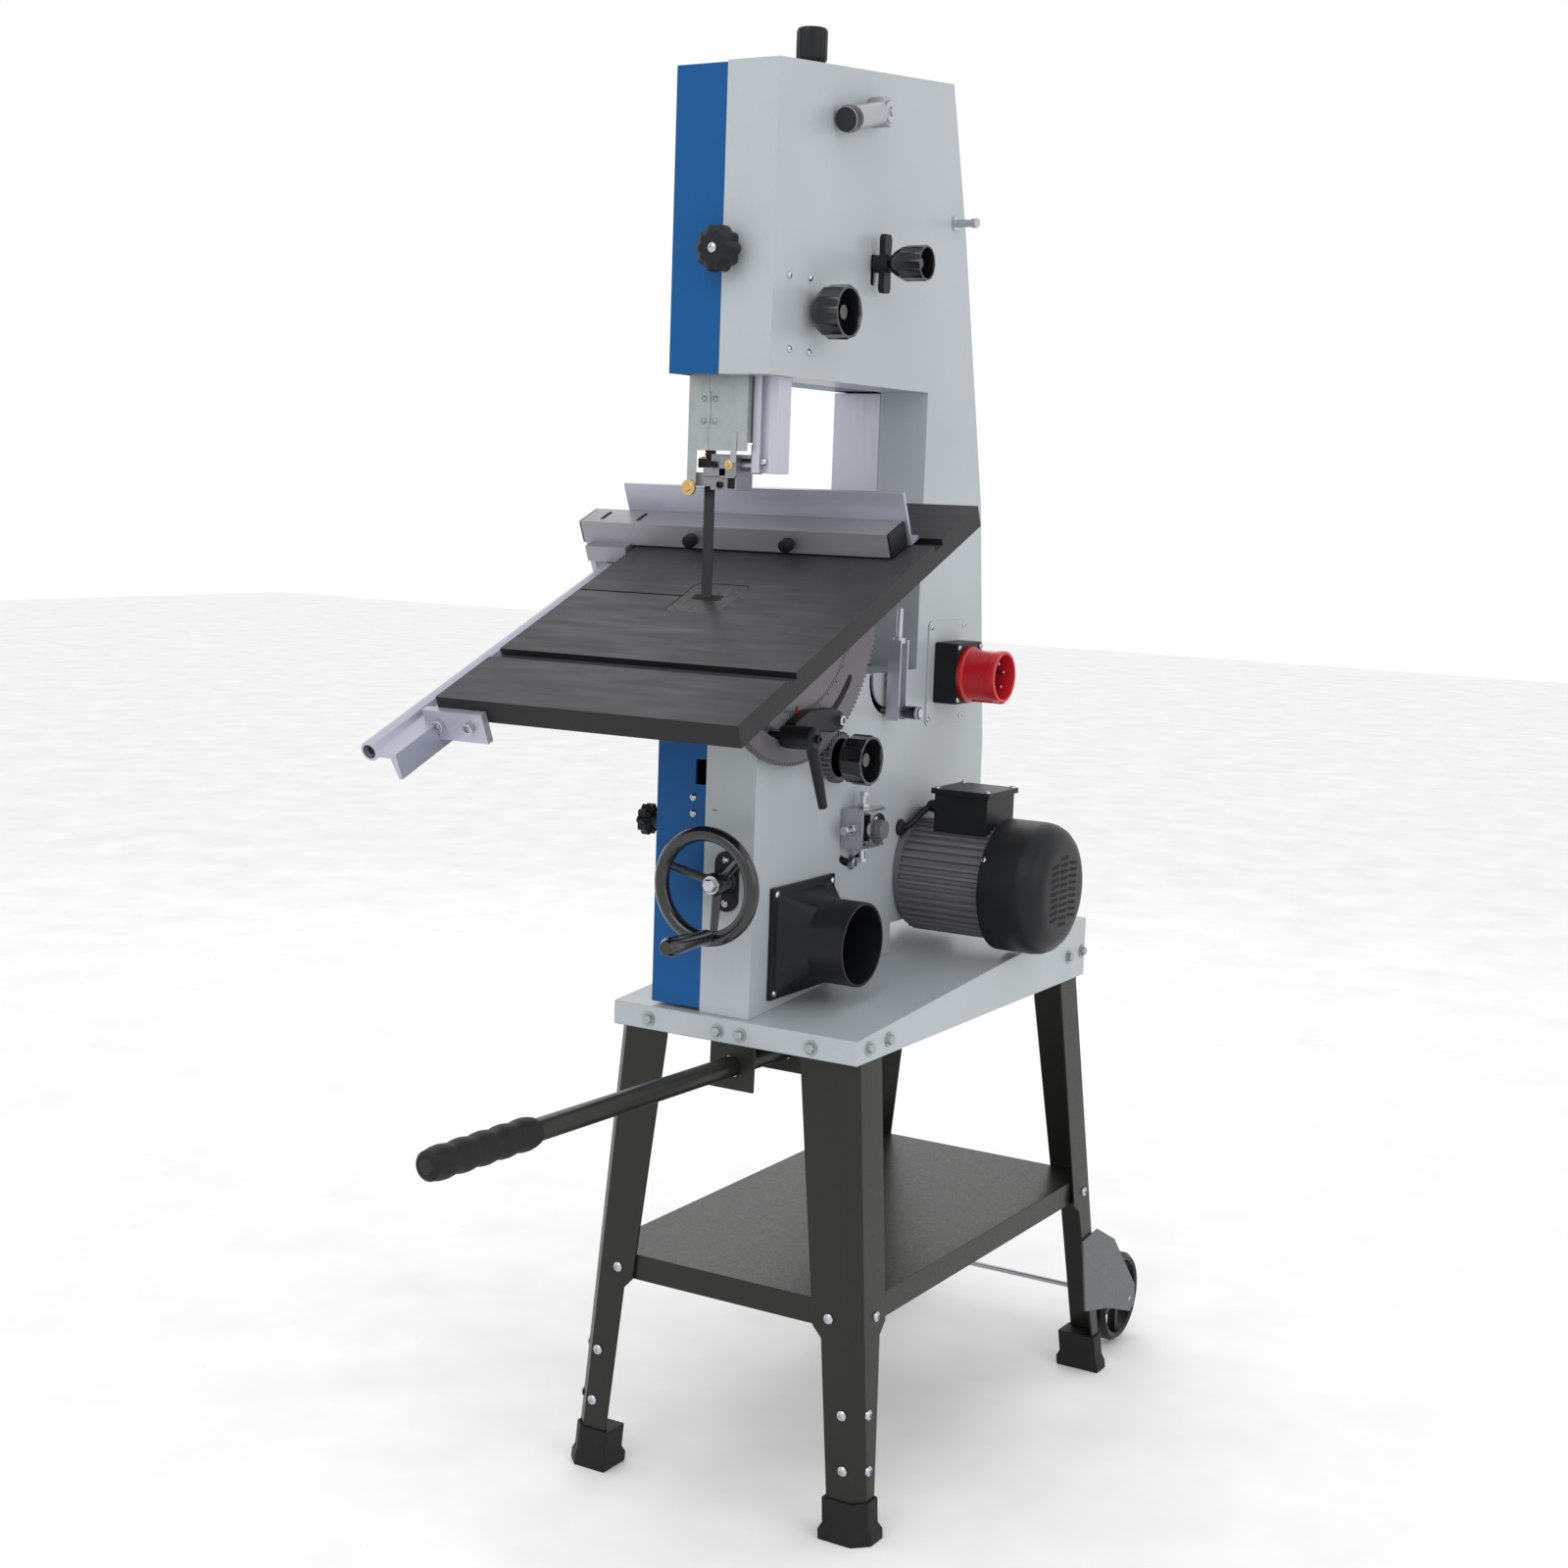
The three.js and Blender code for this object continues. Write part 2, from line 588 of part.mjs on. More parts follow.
const loop = (r) => beltOutline([WHEEL_X, UPPER_Z], r, [WHEEL_X, LOWER_Z], r, 24);
piece(
  "saw_blade",
  prism("y", loop(WHEEL_R + GAP + BLADE_T), BLADE_Y, [loop(WHEEL_R + GAP)]),
  STEEL,
);

function driveBelt() {
  const around = (t) =>
    beltOutline([WHEEL_X, LOWER_Z], PULLEY_R + t, [MOTOR.x, MOTOR.z], MOTOR_PULLEY_R + t, 30);
  return prism("y", around(8), [PULLEY_Y[0] + 2, PULLEY_Y[1] - 2], [around(GAP)]);
}
piece("drive_belt", driveBelt(), RUBBER);

piece(
  "motor_pulley",
  join(
    rod("y", [MOTOR.x, 0, MOTOR.z], MOTOR_PULLEY_R, PULLEY_Y, 28),
    rod("y", [MOTOR.x, 0, MOTOR.z], 9, [-50, -GAP], 16),
  ),
  CAST,
);

// Bearing housing inside the casing, with the alignment bracket outside it.
function lowerBearing() {
  const at = [WHEEL_X, 0, LOWER_Z];
  const housing = rod("y", at, 31, [-41, -SHEET - GAP], 28);
  const neck = rod("y", at, 18, [-5, 22], 24);
  const [x, y, z] = [[-263, -205], [GAP, 31], [779, 828]];
  const frame = cut(box(x, y, z), box([-270, x[1] - 4], [y[0] + 4, 40], [z[0] + 4, z[1] - 4]));
  return cut(join(housing, neck, frame), rod("y", at, 12 + GAP, [-60, 60], 24));
}
piece("lower_bearing", lowerBearing(), STEEL);

// Idler arm that swings about the bearing housing and presses the belt's slack run.
function idlerArm() {
  const y = [-27, -14];
  const centre = [WHEEL_X, LOWER_Z];
  const tip = [-320, 677];
  const ring = prism("y", circle(centre, 43, 28), y);
  const along = new THREE.Vector2(tip[0] - centre[0], tip[1] - centre[1]);
  const bar = new THREE.BoxGeometry(along.length() - 34, y[1] - y[0], 20)
    .translate((along.length() + 34) / 2, 0, 0)
    .rotateY(-along.angle())
    .translate(centre[0], (y[0] + y[1]) / 2, centre[1]);
  const roller = rod("y", [tip[0], 0, tip[1]], 12.5, [PULLEY_Y[0] + 2, -32], 20);
  const pin = rod("y", [tip[0], 0, tip[1]], 7, [-34, y[1]], 16);
  const bolt = rod("y", [WHEEL_X, 0, LOWER_Z - IDLER_SLOT_R], 4.5, [y[1] - 2, 7], 12);
  const boss = rod("y", [WHEEL_X, 0, LOWER_Z - IDLER_SLOT_R], 9, y, 16);
  const bore = rod("y", [WHEEL_X, 0, LOWER_Z], 31 + GAP, [-60, 0], 28);
  return join(cut(join(ring, solid(bar), boss), bore), roller, pin, bolt);
}
piece("idler_arm", idlerArm(), STEEL);

// ---------------------------------------------------------------- motor and electrics
function motorBody() {
  const fins = 40;
  const centre = [MOTOR.x, MOTOR.z];
  const outline = Array.from({ length: fins * 4 }, (_, i) => {
    const [depth, offset] = [[4, -2.6], [0, -1.4], [0, 1.4], [4, 2.6]][i % 4];
    return polar(centre, MOTOR.r - depth, (360 * Math.floor(i / 4)) / fins + offset);
  });
  const flange = rod("y", [MOTOR.x - 8, 0, MOTOR.z + 8], 80, [GAP, 9], 48);
  return join(prism("y", outline, [8, 127]), flange);
}

function motorCowl() {
  const { cowl, end } = MOTOR;
  const start = 127 + GAP;
  const profile = [
    [0, start], [cowl - 4, start], [cowl, start + 3], [cowl, end - 24], [cowl - 7, end - 7],
    [cowl - 24, end], [0, end],
  ];
  return turned("y", [MOTOR.x, 0, MOTOR.z], profile, 40);
}

function terminalBox() {
  const x = [MOTOR.x - 47, MOTOR.x + 42];
  const lid = box(x, [36, 120], [834, 841]);
  const body = box([x[0] + 4, x[1] - 4], [40, 116], [768, 835]);
  return cut(join(lid, body), rod("y", [MOTOR.x, 0, MOTOR.z], MOTOR.r + GAP, [0, 140], 40));
}

// Motor lead, held between the terminal box and the casing's rear wall.
function motorLead() {
  const path = new THREE.CatmullRomCurve3(
    [
      [-396, 39.5, 815], [-395, 30, 815], [-388, 21, 808], [-375, 14, 795], [-366, 8, 788],
      [-363, 0, 787], [-363, -12, 787],
    ].map((p) => new THREE.Vector3(...p)),
  );
  const section = new THREE.Shape(circle([0, 0], 4.5, 10).map(([u, v]) => new THREE.Vector2(u, v)));
  return solid(new THREE.ExtrudeGeometry(section, { steps: 12, extrudePath: path, bevelEnabled: false }));
}

// Appliance inlet: a deep box with the round shrouded inlet on its rear face.
function powerInlet() {
  const centre = [-476, 0, 984];
  const body = box([-515, -439], [GAP, 36], [945, 1027]);
  const shroud = [
    [0, 34], [37, 34], [37, 40], [33, 42], [33, 88], [29.5, 88], [29.5, 56], [0, 56],
  ];
  return join(body, turned("y", centre, shroud, 32));
}

piece("motor_body", motorBody(), ALU);
piece("motor_cowl", motorCowl(), BLACK);
piece("terminal_box", terminalBox(), BLACK);
piece("motor_lead", motorLead(), RUBBER);
piece("power_inlet", powerInlet(), RED);

// ---------------------------------------------------------------- dust port
function dustPort() {
  const half = [74, 68];
  const bore = 48;
  const outer = 51.5;
  const count = 32;
  const at = (u, y, v) => [DUST.x + u, y, DUST.z + v];
  const square = (grow, y) =>
    circle([0, 0], 1, count, 45).map(([u, v]) => {
      const reach = Math.max(Math.abs(u), Math.abs(v));
      return at((u / reach) * (half[0] + grow), y, (v / reach) * (half[1] + grow));
    });
  const round = (r, y) => circle([0, 0], r, count, 45).map(([u, v]) => at(u, y, v));
  const skin = loft(
    [square(0, GAP), square(0, 5), square(-9, 7), round(outer, 40), round(outer, 88)],
    [0, 2],
  );
  const duct = loft(
    [square(-26, -1), square(-26, 3), round(bore, 38), round(bore, 90)],
    [0, 2],
  );
  return cut(skin, duct);
}
piece("dust_port", dustPort(), BLACK);

// ---------------------------------------------------------------- hand controls on the casing
function starKnob(axis, centre, r, from, length) {
  const lobes = 10;
  const ring = (grow, station) =>
    circle([0, 0], 1, lobes * 4).map(([u, v], i) => {
      const reach = r + grow - (i % 4 === 2 ? 3.2 : i % 4 === 0 ? 0 : 1.2);
      return [station, u * reach, v * reach];
    });
  const body = [ring(-9, from), ring(0, from + 5), ring(0, from + length - 5), ring(-7, from + length)];
  const turnedTo = axis === "x" ? body : body.map((rg) => rg.map(([s, u, v]) => [u, s, v]));
  const placed = turnedTo.map((rg) => rg.map((p) => p.map((c, i) => c + centre[i])));
  return loft(placed, axis === "x" ? [1, 2] : [0, 2]);
}

const upperLock = { y: -62, z: 1488 };
piece(
  "upper_lock_knob",
  join(
    starKnob("x", [0, upperLock.y, upperLock.z], 27, 8, 24),
    rod("x", [0, upperLock.y, upperLock.z], 11, [GAP, 10], 16),
    rod("x", [0, upperLock.y, upperLock.z], 5, [-9, 2], 12),
  ),
  BLACK,
);
piece(
  "lower_lock_knob",
  join(
    starKnob("y", [-14, 0, 819], 19.5, FRONT - 31, 20),
    rod("y", [-14, 0, 819], 10, [FRONT - 13, FRONT - GAP], 16),
  ),
  BLACK,
);

function handwheel() {
  const { y, z, rim, plane } = HANDWHEEL;
  const c = [0, y, z];
  const section = circle([rim, plane], 7, 10);
  const ring = turned("x", c, [...section, section[0]], 40);
  const hub = turned("x", c, [[0, 9], [13, 9], [14, 14], [14, 30], [10, 36], [0, 36]], 20);
  const shaft = rod("x", c, 6.5, [-150, 42], 16);
  const foot = 20; // where the dished spokes leave the hub
  const reach = Math.hypot(rim, plane - foot) - 2;
  const spokes = [40, 160, 280].map((angle) => {
    const bar = new THREE.CylinderGeometry(4.5, 6, reach - 6, 10).translate(0, reach / 2 + 3, 0);
    bar.rotateZ(-Math.atan2(plane - foot, rim)).translate(foot, 0, 0);
    return solid(bar.rotateX(rad(angle)).translate(...c));
  });
  return join(ring, hub, shaft, ...spokes);
}

const CRANK = { y: HANDWHEEL.y + 10.5, z: HANDWHEEL.z - 56.5 };
function crankGrip() {
  const profile = [
    [0, 56], [8, 56], [9.5, 62], [8.5, 82], [11, 120], [11.5, 138], [8, 146], [0, 146],
  ];
  return turned("x", [0, CRANK.y, CRANK.z], profile, 20);
}
piece("handwheel", handwheel(), BLACK);
piece("crank_grip", crankGrip(), BLACK);

// ---------------------------------------------------------------- blade tension and tracking
function tensionKnob() {
  const c = [TENSION.x, TENSION.y, 0];
  const flutes = 16;
  const ring = (r, z) =>
    circle([TENSION.x, TENSION.y], 1, flutes * 2).map(([u, v], i) => {
      const reach = r - (i % 2) * 1.1;
      return [TENSION.x + (u - TENSION.x) * reach, TENSION.y + (v - TENSION.y) * reach, z];
    });
  const grip = loft([ring(15, 1722), ring(19, 1728), ring(19, 1760), ring(17, 1764)], [0, 1]);
  return join(grip, rod("z", c, 5, [1585, 1724], 16));
}

// Quick-release lever: hexagon hub and short round bar outside, eccentric cam inside.
function tensionLever() {
  const { x, z } = CAM;
  const hub = prism("y", circle([x, z], 18, 6, 16), [1.5, 25]);
  const spindle = rod("y", [x, 0, z], 8, [-33, 3], 16);
  const cam = rod("y", [x, 0, z + 6], 11, [-32, -14], 20);
  const bar = new THREE.CylinderGeometry(15, 13, 88, 20).translate(0, 48, 0);
  bar.rotateX(Math.PI / 2).rotateY(rad(104)).translate(x, 16.5, z);
  return join(hub, spindle, cam, solid(bar));
}

function wheelCarriage() {
  const plate = box([WHEEL_X - 30, WHEEL_X + 30], [-34, -14], [1474, 1612]);
  const lug = box([WHEEL_X + 29, -148], [-66, -14], [1598, 1612]);
  return cut(
    join(plate, lug),
    rod("z", [TENSION.x, TENSION.y, 0], 5 + GAP, [1590, 1620], 16),
    rod("y", [TRACKING.x, 0, TRACKING.z], 5 + GAP, [-40, -10], 16),
  );
}

function trackingBracket() {
  const block = box([WHEEL_X - 22, WHEEL_X + 22], [-60, -35.5], [1484, 1562]);
  return join(block, rod("y", [WHEEL_X, 0, UPPER_Z], 10, [-126, -58], 24));
}

function trackingKnob() {
  const c = [TRACKING.x, 0, TRACKING.z];
  return join(cupKnob("y", c, 21.5, 28, 46), rod("y", c, 5, [-33.9, 32], 16));
}

function wingNut() {
  const c = [TRACKING.x, TRACKING.z];
  const wings = [
    [-6, 35], [-9, 30], [-8, 9], [-11, 4], [-11, -4], [-8, -9], [-9, -30], [-6, -35],
    [6, -35], [9, -30], [8, -9], [11, -4], [11, 4], [8, 9], [9, 30], [6, 35],
  ].map(([u, v]) => [c[0] + u, c[1] + v]);
  const at = [TRACKING.x, 0, TRACKING.z];
  const nut = join(prism("y", wings, [12, 20]), rod("y", at, 11, [4, 24], 20));
  return cut(nut, rod("y", at, 5 + GAP, [0, 30], 16));
}

piece("tension_knob", tensionKnob(), BLACK);
piece("tension_lever", tensionLever(), STEEL);
piece("wheel_carriage", wheelCarriage(), CAST);
piece("tracking_bracket", trackingBracket(), STEEL);
piece("tracking_knob", trackingKnob(), BLACK);
piece("wing_nut", wingNut(), BLACK);

// ---------------------------------------------------------------- guide post, guides and guard
function guidePost() {
  const [x0, x1] = POST.x;
  const [y0, y1] = POST.y;
  const outline = [
    [x0, y0], [x1, y0], [x1, -38], [x1 - 7, -38], [x1 - 7, -27], [x1, -27], [x1, y1],
    [x0, y1], [x0, -26], [x0 - 6, -26], [x0 - 6, -40], [x0, -40],
  ];
  return prism("z", outline, [1237, 1602]);
}

function guideBlock() {
  const body = box([-80, -44], [-104, -68], [1216, 1258]);
  const cheeks = [[-72, -62], [-53, -44]].map((x) => box(x, [-128, -103], [1220, 1236]));
  const bridge = box([-78, -46], [-104, -50], [1254, 1258]);
  const stem = rod("y", [-61, 0, 1246], 7, [-70, -50], 16);
  const tongue = box([-72, -50], [-52.5, -50 + GAP], [1236, 1270]);
  return join(body, ...cheeks, bridge, stem, tongue);
}

const GUARD_X = [-38, -36.5];
const GUARD_Z = [1262, 1462];
function bladeGuard() {
  const face = box(GUARD_X, [-104, -50.5], GUARD_Z);
  return join(face, box([-74, GUARD_X[1]], [-52, -50.5], [GUARD_Z[0] + 10, GUARD_Z[1]]));
}

// The hinged front plate, notched at its foot to clear the guide roller.
function guardFlap() {
  const [front, hinge] = [-133, -104 - GAP];
  const [foot, notch] = [1222, -120.5];
  const outline = [
    [front, foot], [notch, foot], [notch, GUARD_Z[0]], [hinge, GUARD_Z[0]],
    [hinge, GUARD_Z[1]], [front, GUARD_Z[1]],
  ];
  return prism("x", outline, GUARD_X);
}

piece("guide_post", guidePost(), ALU);
piece("guide_block", guideBlock(), ALU);
piece("blade_guard", bladeGuard(), STEEL);
piece("guard_flap", guardFlap(), STEEL);
piece(
  "height_knob",
  join(
    cupKnob("y", [HEIGHT_KNOB.x, 0, HEIGHT_KNOB.z], 31.5, 3, 43, 28),
    rod("y", [HEIGHT_KNOB.x, 0, HEIGHT_KNOB.z], 6, [-45, 6], 16),
    rod("y", [HEIGHT_KNOB.x, 0, HEIGHT_KNOB.z], 16, [-44, -22], 24),
  ),
  BLACK,
);

// ---------------------------------------------------------------- table and tilt
function table() {
  const under = -TABLE_EDGE;
  const plate = box(TABLE_A, TABLE_Y, [under, 0]);
  const skin = 12;
  const [a0, a1] = [TABLE_A[0] + 12, TABLE_A[1] - 12];
  const [y0, y1] = [TABLE_Y[0] + 12, TABLE_Y[1] - 12];
  const pockets = [[a0, -86], [-74, 74], [86, a1]].map((a) =>
    box(a, [y0, y1], [under - 1, -skin]),
  );
  const slots = [[170, 192], [-198, -176]].map((a) =>
    box(a, [TABLE_Y[0] - 1, TABLE_Y[1] + 1], [-8, 1]),
  );
  const slit = box([-1.5, 1.5], [TABLE_Y[0] - 1, -110], [under - 1, 1]);
  const recess = prism("z", roundedRect([-38, 44], [-149, -71], 9), [-3.4, 1]);
  const opening = box([-14, 14], [-132, -92], [-20, 1]);
  const halfMoon = [...arc([0, 0], 51.5, -158, -22, 20), [47.7, -11], [-47.7, -11]];
  const trunnion = prism("y", halfMoon, [-60, -12]);
  return join(cut(plate, ...pockets, ...slots, slit, recess, opening), trunnion);
}

function tiltSector() {
  const first = PINION_DIR + TILT;
  const outline = [
    ...teeth([0, 0], SECTOR_R, first, -147, -25),
    [48, -TABLE_EDGE - GAP], [-48 - 60, -TABLE_EDGE - GAP],
  ];
  const slot = arcSlot([0, 0], CLAMP_R, 5.6, -119.5, -33.2, 20);
  return prism("y", outline, SECTOR_Y, [slot]);
}

function tiltKnob() {
  const c = [PINION.x, 0, PINION.z];
  const wheel = prism(
    "y",
    teeth([PINION.x, PINION.z], PINION_R, PINION_DIR + 180 + 6, 0, 359),
    [SECTOR_Y[0] - 1, SECTOR_Y[1] + 1],
  );
  return join(wheel, cupKnob("y", c, 31, 21, 41, 28), rod("y", c, 7, [-8, 23], 16));
}

function clampLever() {
  const { x, z } = LEVER;
  const hub = turned("y", [x, 0, z], [[0, 20], [13, 20], [14, 24], [14, 60], [11, 64], [0, 64]], 20);
  const stud = rod("y", [x, 0, z], 5, [-9, 22], 12);
  const reach = new THREE.Vector2(-34, -84);
  const arm = new THREE.CylinderGeometry(8, 5.5, reach.length(), 12)
    .translate(0, -reach.length() / 2, 0)
    .rotateX(Math.PI / 2)
    .rotateY(-reach.angle() - Math.PI / 2)
    .translate(x, 56, z);
  return join(hub, stud, solid(arm));
}

// Fixed cradle under the table; its hollow follows the trunnion's radius.
function trunnionCradle() {
  const floor = (x) => (x < -90 ? HOUSING_TOP : HOUSING_TOP + ((x + 90) * (925 - HOUSING_TOP)) / 90);
  const outline = [
    [-125, floor(-125) + GAP], [-90, floor(-90) + GAP], [-18, floor(-18) + GAP], [-27, 1012],
    [-45, 1034.3], [-122, 1062],
  ];
  const hollow = rod("y", [PIVOT.x, 0, PIVOT.z], 52.2, [-70, 0], 56);
  return cut(prism("y", outline, [-59, -13]), hollow);
}

piece("table", table(), CAST, tableGroup);
piece("tilt_sector", tiltSector(), CAST, tableGroup);
piece("tilt_knob", tiltKnob(), BLACK);
piece("clamp_lever", clampLever(), BLACK);
piece("trunnion_cradle", trunnionCradle(), CAST);

// Swing-away stop that a level table rests on.
function tableStop() {
  const { x, z, r } = STOP;
  const channel = cut(
    box([x - 11, x + 11], [6, 24], [z - 52, z + 50]),
    box([x - 8, x + 8], [9, 30], [z - 60, z + 60]),
  );
  const post = rod("z", [x, 15, 0], 4, [z + 46, PIVOT.z - 12.6], 12);
  const nut = rod("z", [x, 15, 0], 8.2, [z + 46, z + 53], 12);
  const pin = rod("y", [x, 0, z], 5, [-7, 8], 12);
  const follower = rod("y", [x, 0, z - r], 4, [-6, 28], 12);
  const handle = turned("y", [x, 0, z - r], [[0, 25], [7, 25], [8.5, 48], [6, 51], [0, 51]], 16);
  return join(channel, post, nut, pin, follower, handle);
}
piece("table_stop", tableStop(), ALU);

// ---------------------------------------------------------------- fence
const RAIL = { y: -341, h: -30, r: 12 };
function fenceRail() {
  const a = [-300, 384];
  const outline = [
    ...arc([RAIL.y, RAIL.h], RAIL.r, 15, 330, 9),
    [TABLE_Y[0] - 10, -36], [TABLE_Y[0] - 5, -62], [TABLE_Y[0] - GAP, -62], [TABLE_Y[0] - GAP, -30],
  ];
  const rail = prism("x", outline, a);
  const bore = rod("x", [0, RAIL.y, RAIL.h], 6, [a[0] - 1, a[1] + 1], 16);
  const corner = cut(
    box([TABLE_A[1] + GAP, TABLE_A[1] + 10], [-318, -232], [-50, -13]),
    box([290, 320], [-330, TABLE_Y[0]], [-70, -28]),
  );
  const tie = box([TABLE_A[1] + GAP, TABLE_A[1] + 10], [-318, -300], [-34, -24]);
  return join(cut(rail, bore), corner, tie);
}

const FENCE_A = [-172, -130];
function fenceBeam() {
  const outer = prism("y", rect(FENCE_A, [3, 33]), [-382, 71]);
  const hollow = prism("y", rect([FENCE_A[0] + 2.5, FENCE_A[1] - 2.5], [5.5, 30.5]), [-383, 72]);
  const shoe = box([-171, -118], [-372, -309], [-17.4, 3.5]);
  return join(cut(outer, hollow), shoe);
}

function fencePlate() {
  const web = box([FENCE_A[0] - 5, FENCE_A[0] - GAP], [-330, 78], [3, 69]);
  const sole = box([FENCE_A[0] - 21, FENCE_A[0] - GAP], [-330, 78], [1, 6]);
  return join(web, sole);
}

const thumbScrew = (y) => {
  const at = [0, y, 18];
  const knob = turned(
    "x",
    at,
    [
      [0, FENCE_A[1] + 4], [7, FENCE_A[1] + 4], [9, FENCE_A[1] + 8], [9, FENCE_A[1] + 17],
      [0, FENCE_A[1] + 19],
    ],
    16,
  );
  return join(knob, rod("x", at, 4, [FENCE_A[1] + GAP, FENCE_A[1] + 6], 12));
};

piece("fence_rail", fenceRail(), ALU, tableGroup);
piece("fence_beam", fenceBeam(), ALU, tableGroup);
piece("fence_plate", fencePlate(), ALU, tableGroup);
piece("fence_screw_front", thumbScrew(-206), BLACK, tableGroup);
piece("fence_screw_rear", thumbScrew(-65), BLACK, tableGroup);

// ---------------------------------------------------------------- origin
const bounds = new THREE.Box3().setFromObject(saw);
const middle = bounds.getCenter(new THREE.Vector3());
saw.position.set(-middle.x, -middle.y, -bounds.min.z);

export default saw;
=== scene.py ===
"""Looks for the two-wheel band saw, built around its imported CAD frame."""

import math

import bpy
from mathutils import Matrix, Vector


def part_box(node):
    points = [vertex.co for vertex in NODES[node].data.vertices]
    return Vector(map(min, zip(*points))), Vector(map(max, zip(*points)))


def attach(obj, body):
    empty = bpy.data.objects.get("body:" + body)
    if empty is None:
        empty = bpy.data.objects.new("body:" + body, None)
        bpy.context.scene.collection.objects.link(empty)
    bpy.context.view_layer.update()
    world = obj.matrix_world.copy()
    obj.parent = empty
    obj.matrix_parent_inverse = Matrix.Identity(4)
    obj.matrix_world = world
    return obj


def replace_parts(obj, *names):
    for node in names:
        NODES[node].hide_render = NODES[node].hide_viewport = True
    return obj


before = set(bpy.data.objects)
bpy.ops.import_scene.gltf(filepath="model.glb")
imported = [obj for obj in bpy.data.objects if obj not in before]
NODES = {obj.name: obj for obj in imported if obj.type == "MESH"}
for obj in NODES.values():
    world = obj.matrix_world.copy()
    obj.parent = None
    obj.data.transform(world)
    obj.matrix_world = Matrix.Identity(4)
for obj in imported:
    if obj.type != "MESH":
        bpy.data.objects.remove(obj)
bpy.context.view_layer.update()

MM = 0.001
casing_low, casing_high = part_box("casing")
# Design point: the casing's blade-side rear edge, on the floor. Pieces are placed from
# it in millimetres, with +X to the blade side, +Y to the motor side and +Z up.
DESIGN = Vector((casing_high[0], casing_high[1], 0))
TILT = math.radians(23.3)
PIVOT = Vector((-57, 0, 1088))


def at(x, y, z):
    return DESIGN + Vector((x, y, z)) * MM


def on_table(a, y, h):
    """A point a along the tilted table from its pivot and h above its top."""
    c, s = math.cos(TILT), math.sin(TILT)
    return (PIVOT.x + a * c + h * s, y, PIVOT.z - a * s + h * c)


X, Y, Z = (1, 0, 0), (0, 1, 0), (0, 0, 1)
TABLE_UP = tuple(Vector(on_table(0, 0, 1)) - Vector(on_table(0, 0, 0)))
TABLE_ALONG = tuple(Vector(on_table(1, 0, 0)) - Vector(on_table(0, 0, 0)))


# Axes and centres that several pieces share, in design millimetres.
HANDWHEEL = (-34.5, 759)  # y, z
MOTOR = (-420, 720)  # x, z
INLET = (-476, 984)  # x, z
TILT_PINION = (-166, 896.9)  # x, z
WHEEL_AXIS = (-234, 803)  # x, z
DUST = (-113.5, 681)  # x, z
DOOR_HINGE = (-433.5, -71)  # x, y
LEVER = (-214, 1671)  # x, z

CAMERA_PLACE = (2224.4, 1358.6, 1217.7)
CAMERA_TURN = (-59.3, -7.4, 2.0)  # yaw, pitch and roll, in degrees
CAMERA_LENS = 51.8  # mm, on a 36 mm wide sensor


# ------------------------------------------------------------------ camera, light, floor
def set_camera():
    data = bpy.data.cameras.new("view")
    data.sensor_width = 36
    data.lens = CAMERA_LENS
    data.clip_end = 50
    cam = bpy.data.objects.new("view", data)
    yaw, pitch, roll = (math.radians(v) for v in CAMERA_TURN)
    ahead = Vector((math.sin(yaw) * math.cos(pitch), -math.cos(yaw) * math.cos(pitch),
                    math.sin(pitch)))
    side = ahead.cross(Vector((0, 0, 1))).normalized()
    up = side.cross(ahead)
    right = side * math.cos(roll) + up * math.sin(roll)
    top = up * math.cos(roll) - side * math.sin(roll)
    turn = Matrix((right, top, -ahead)).transposed().to_4x4()
    cam.matrix_world = Matrix.Translation(at(*CAMERA_PLACE)) @ turn
    bpy.context.scene.collection.objects.link(cam)
    bpy.context.scene.camera = cam


def area_light(name, place, aim, size, power):
    data = bpy.data.lights.new(name, "AREA")
    data.shape = "RECTANGLE"
    data.size, data.size_y = size
    data.energy = power
    lamp = bpy.data.objects.new(name, data)
    lamp.location = place
    lamp.rotation_euler = (Vector(aim) - Vector(place)).to_track_quat("-Z", "Y").to_euler()
    bpy.context.scene.collection.objects.link(lamp)


def set_studio():
    world = bpy.data.worlds.new("studio")
    world.use_nodes = True
    backdrop = world.node_tree.nodes["Background"]
    backdrop.inputs["Color"].default_value = (1, 1, 1, 1)
    backdrop.inputs["Strength"].default_value = 1.0
    bpy.context.scene.world = world
    bpy.context.scene.view_settings.view_transform = "Standard"
    area_light("key", (2.6, 0.2, 3.2), (0, 0, 0.9), (2.2, 2.2), 26)
    area_light("fill", (0.6, 3.4, 2.2), (0, 0, 0.8), (2.4, 2.4), 16)
    area_light("rim", (-2.6, -1.6, 2.8), (0, 0, 1.0), (1.6, 2.0), 14)
    bpy.ops.mesh.primitive_plane_add(size=30)
    floor = bpy.context.object
    floor.name = "studio_floor"
    floor.data.materials.append(surface("floor", (0.9, 0.9, 0.9), 0.85, grain=(3, 0.02, 0.0)))


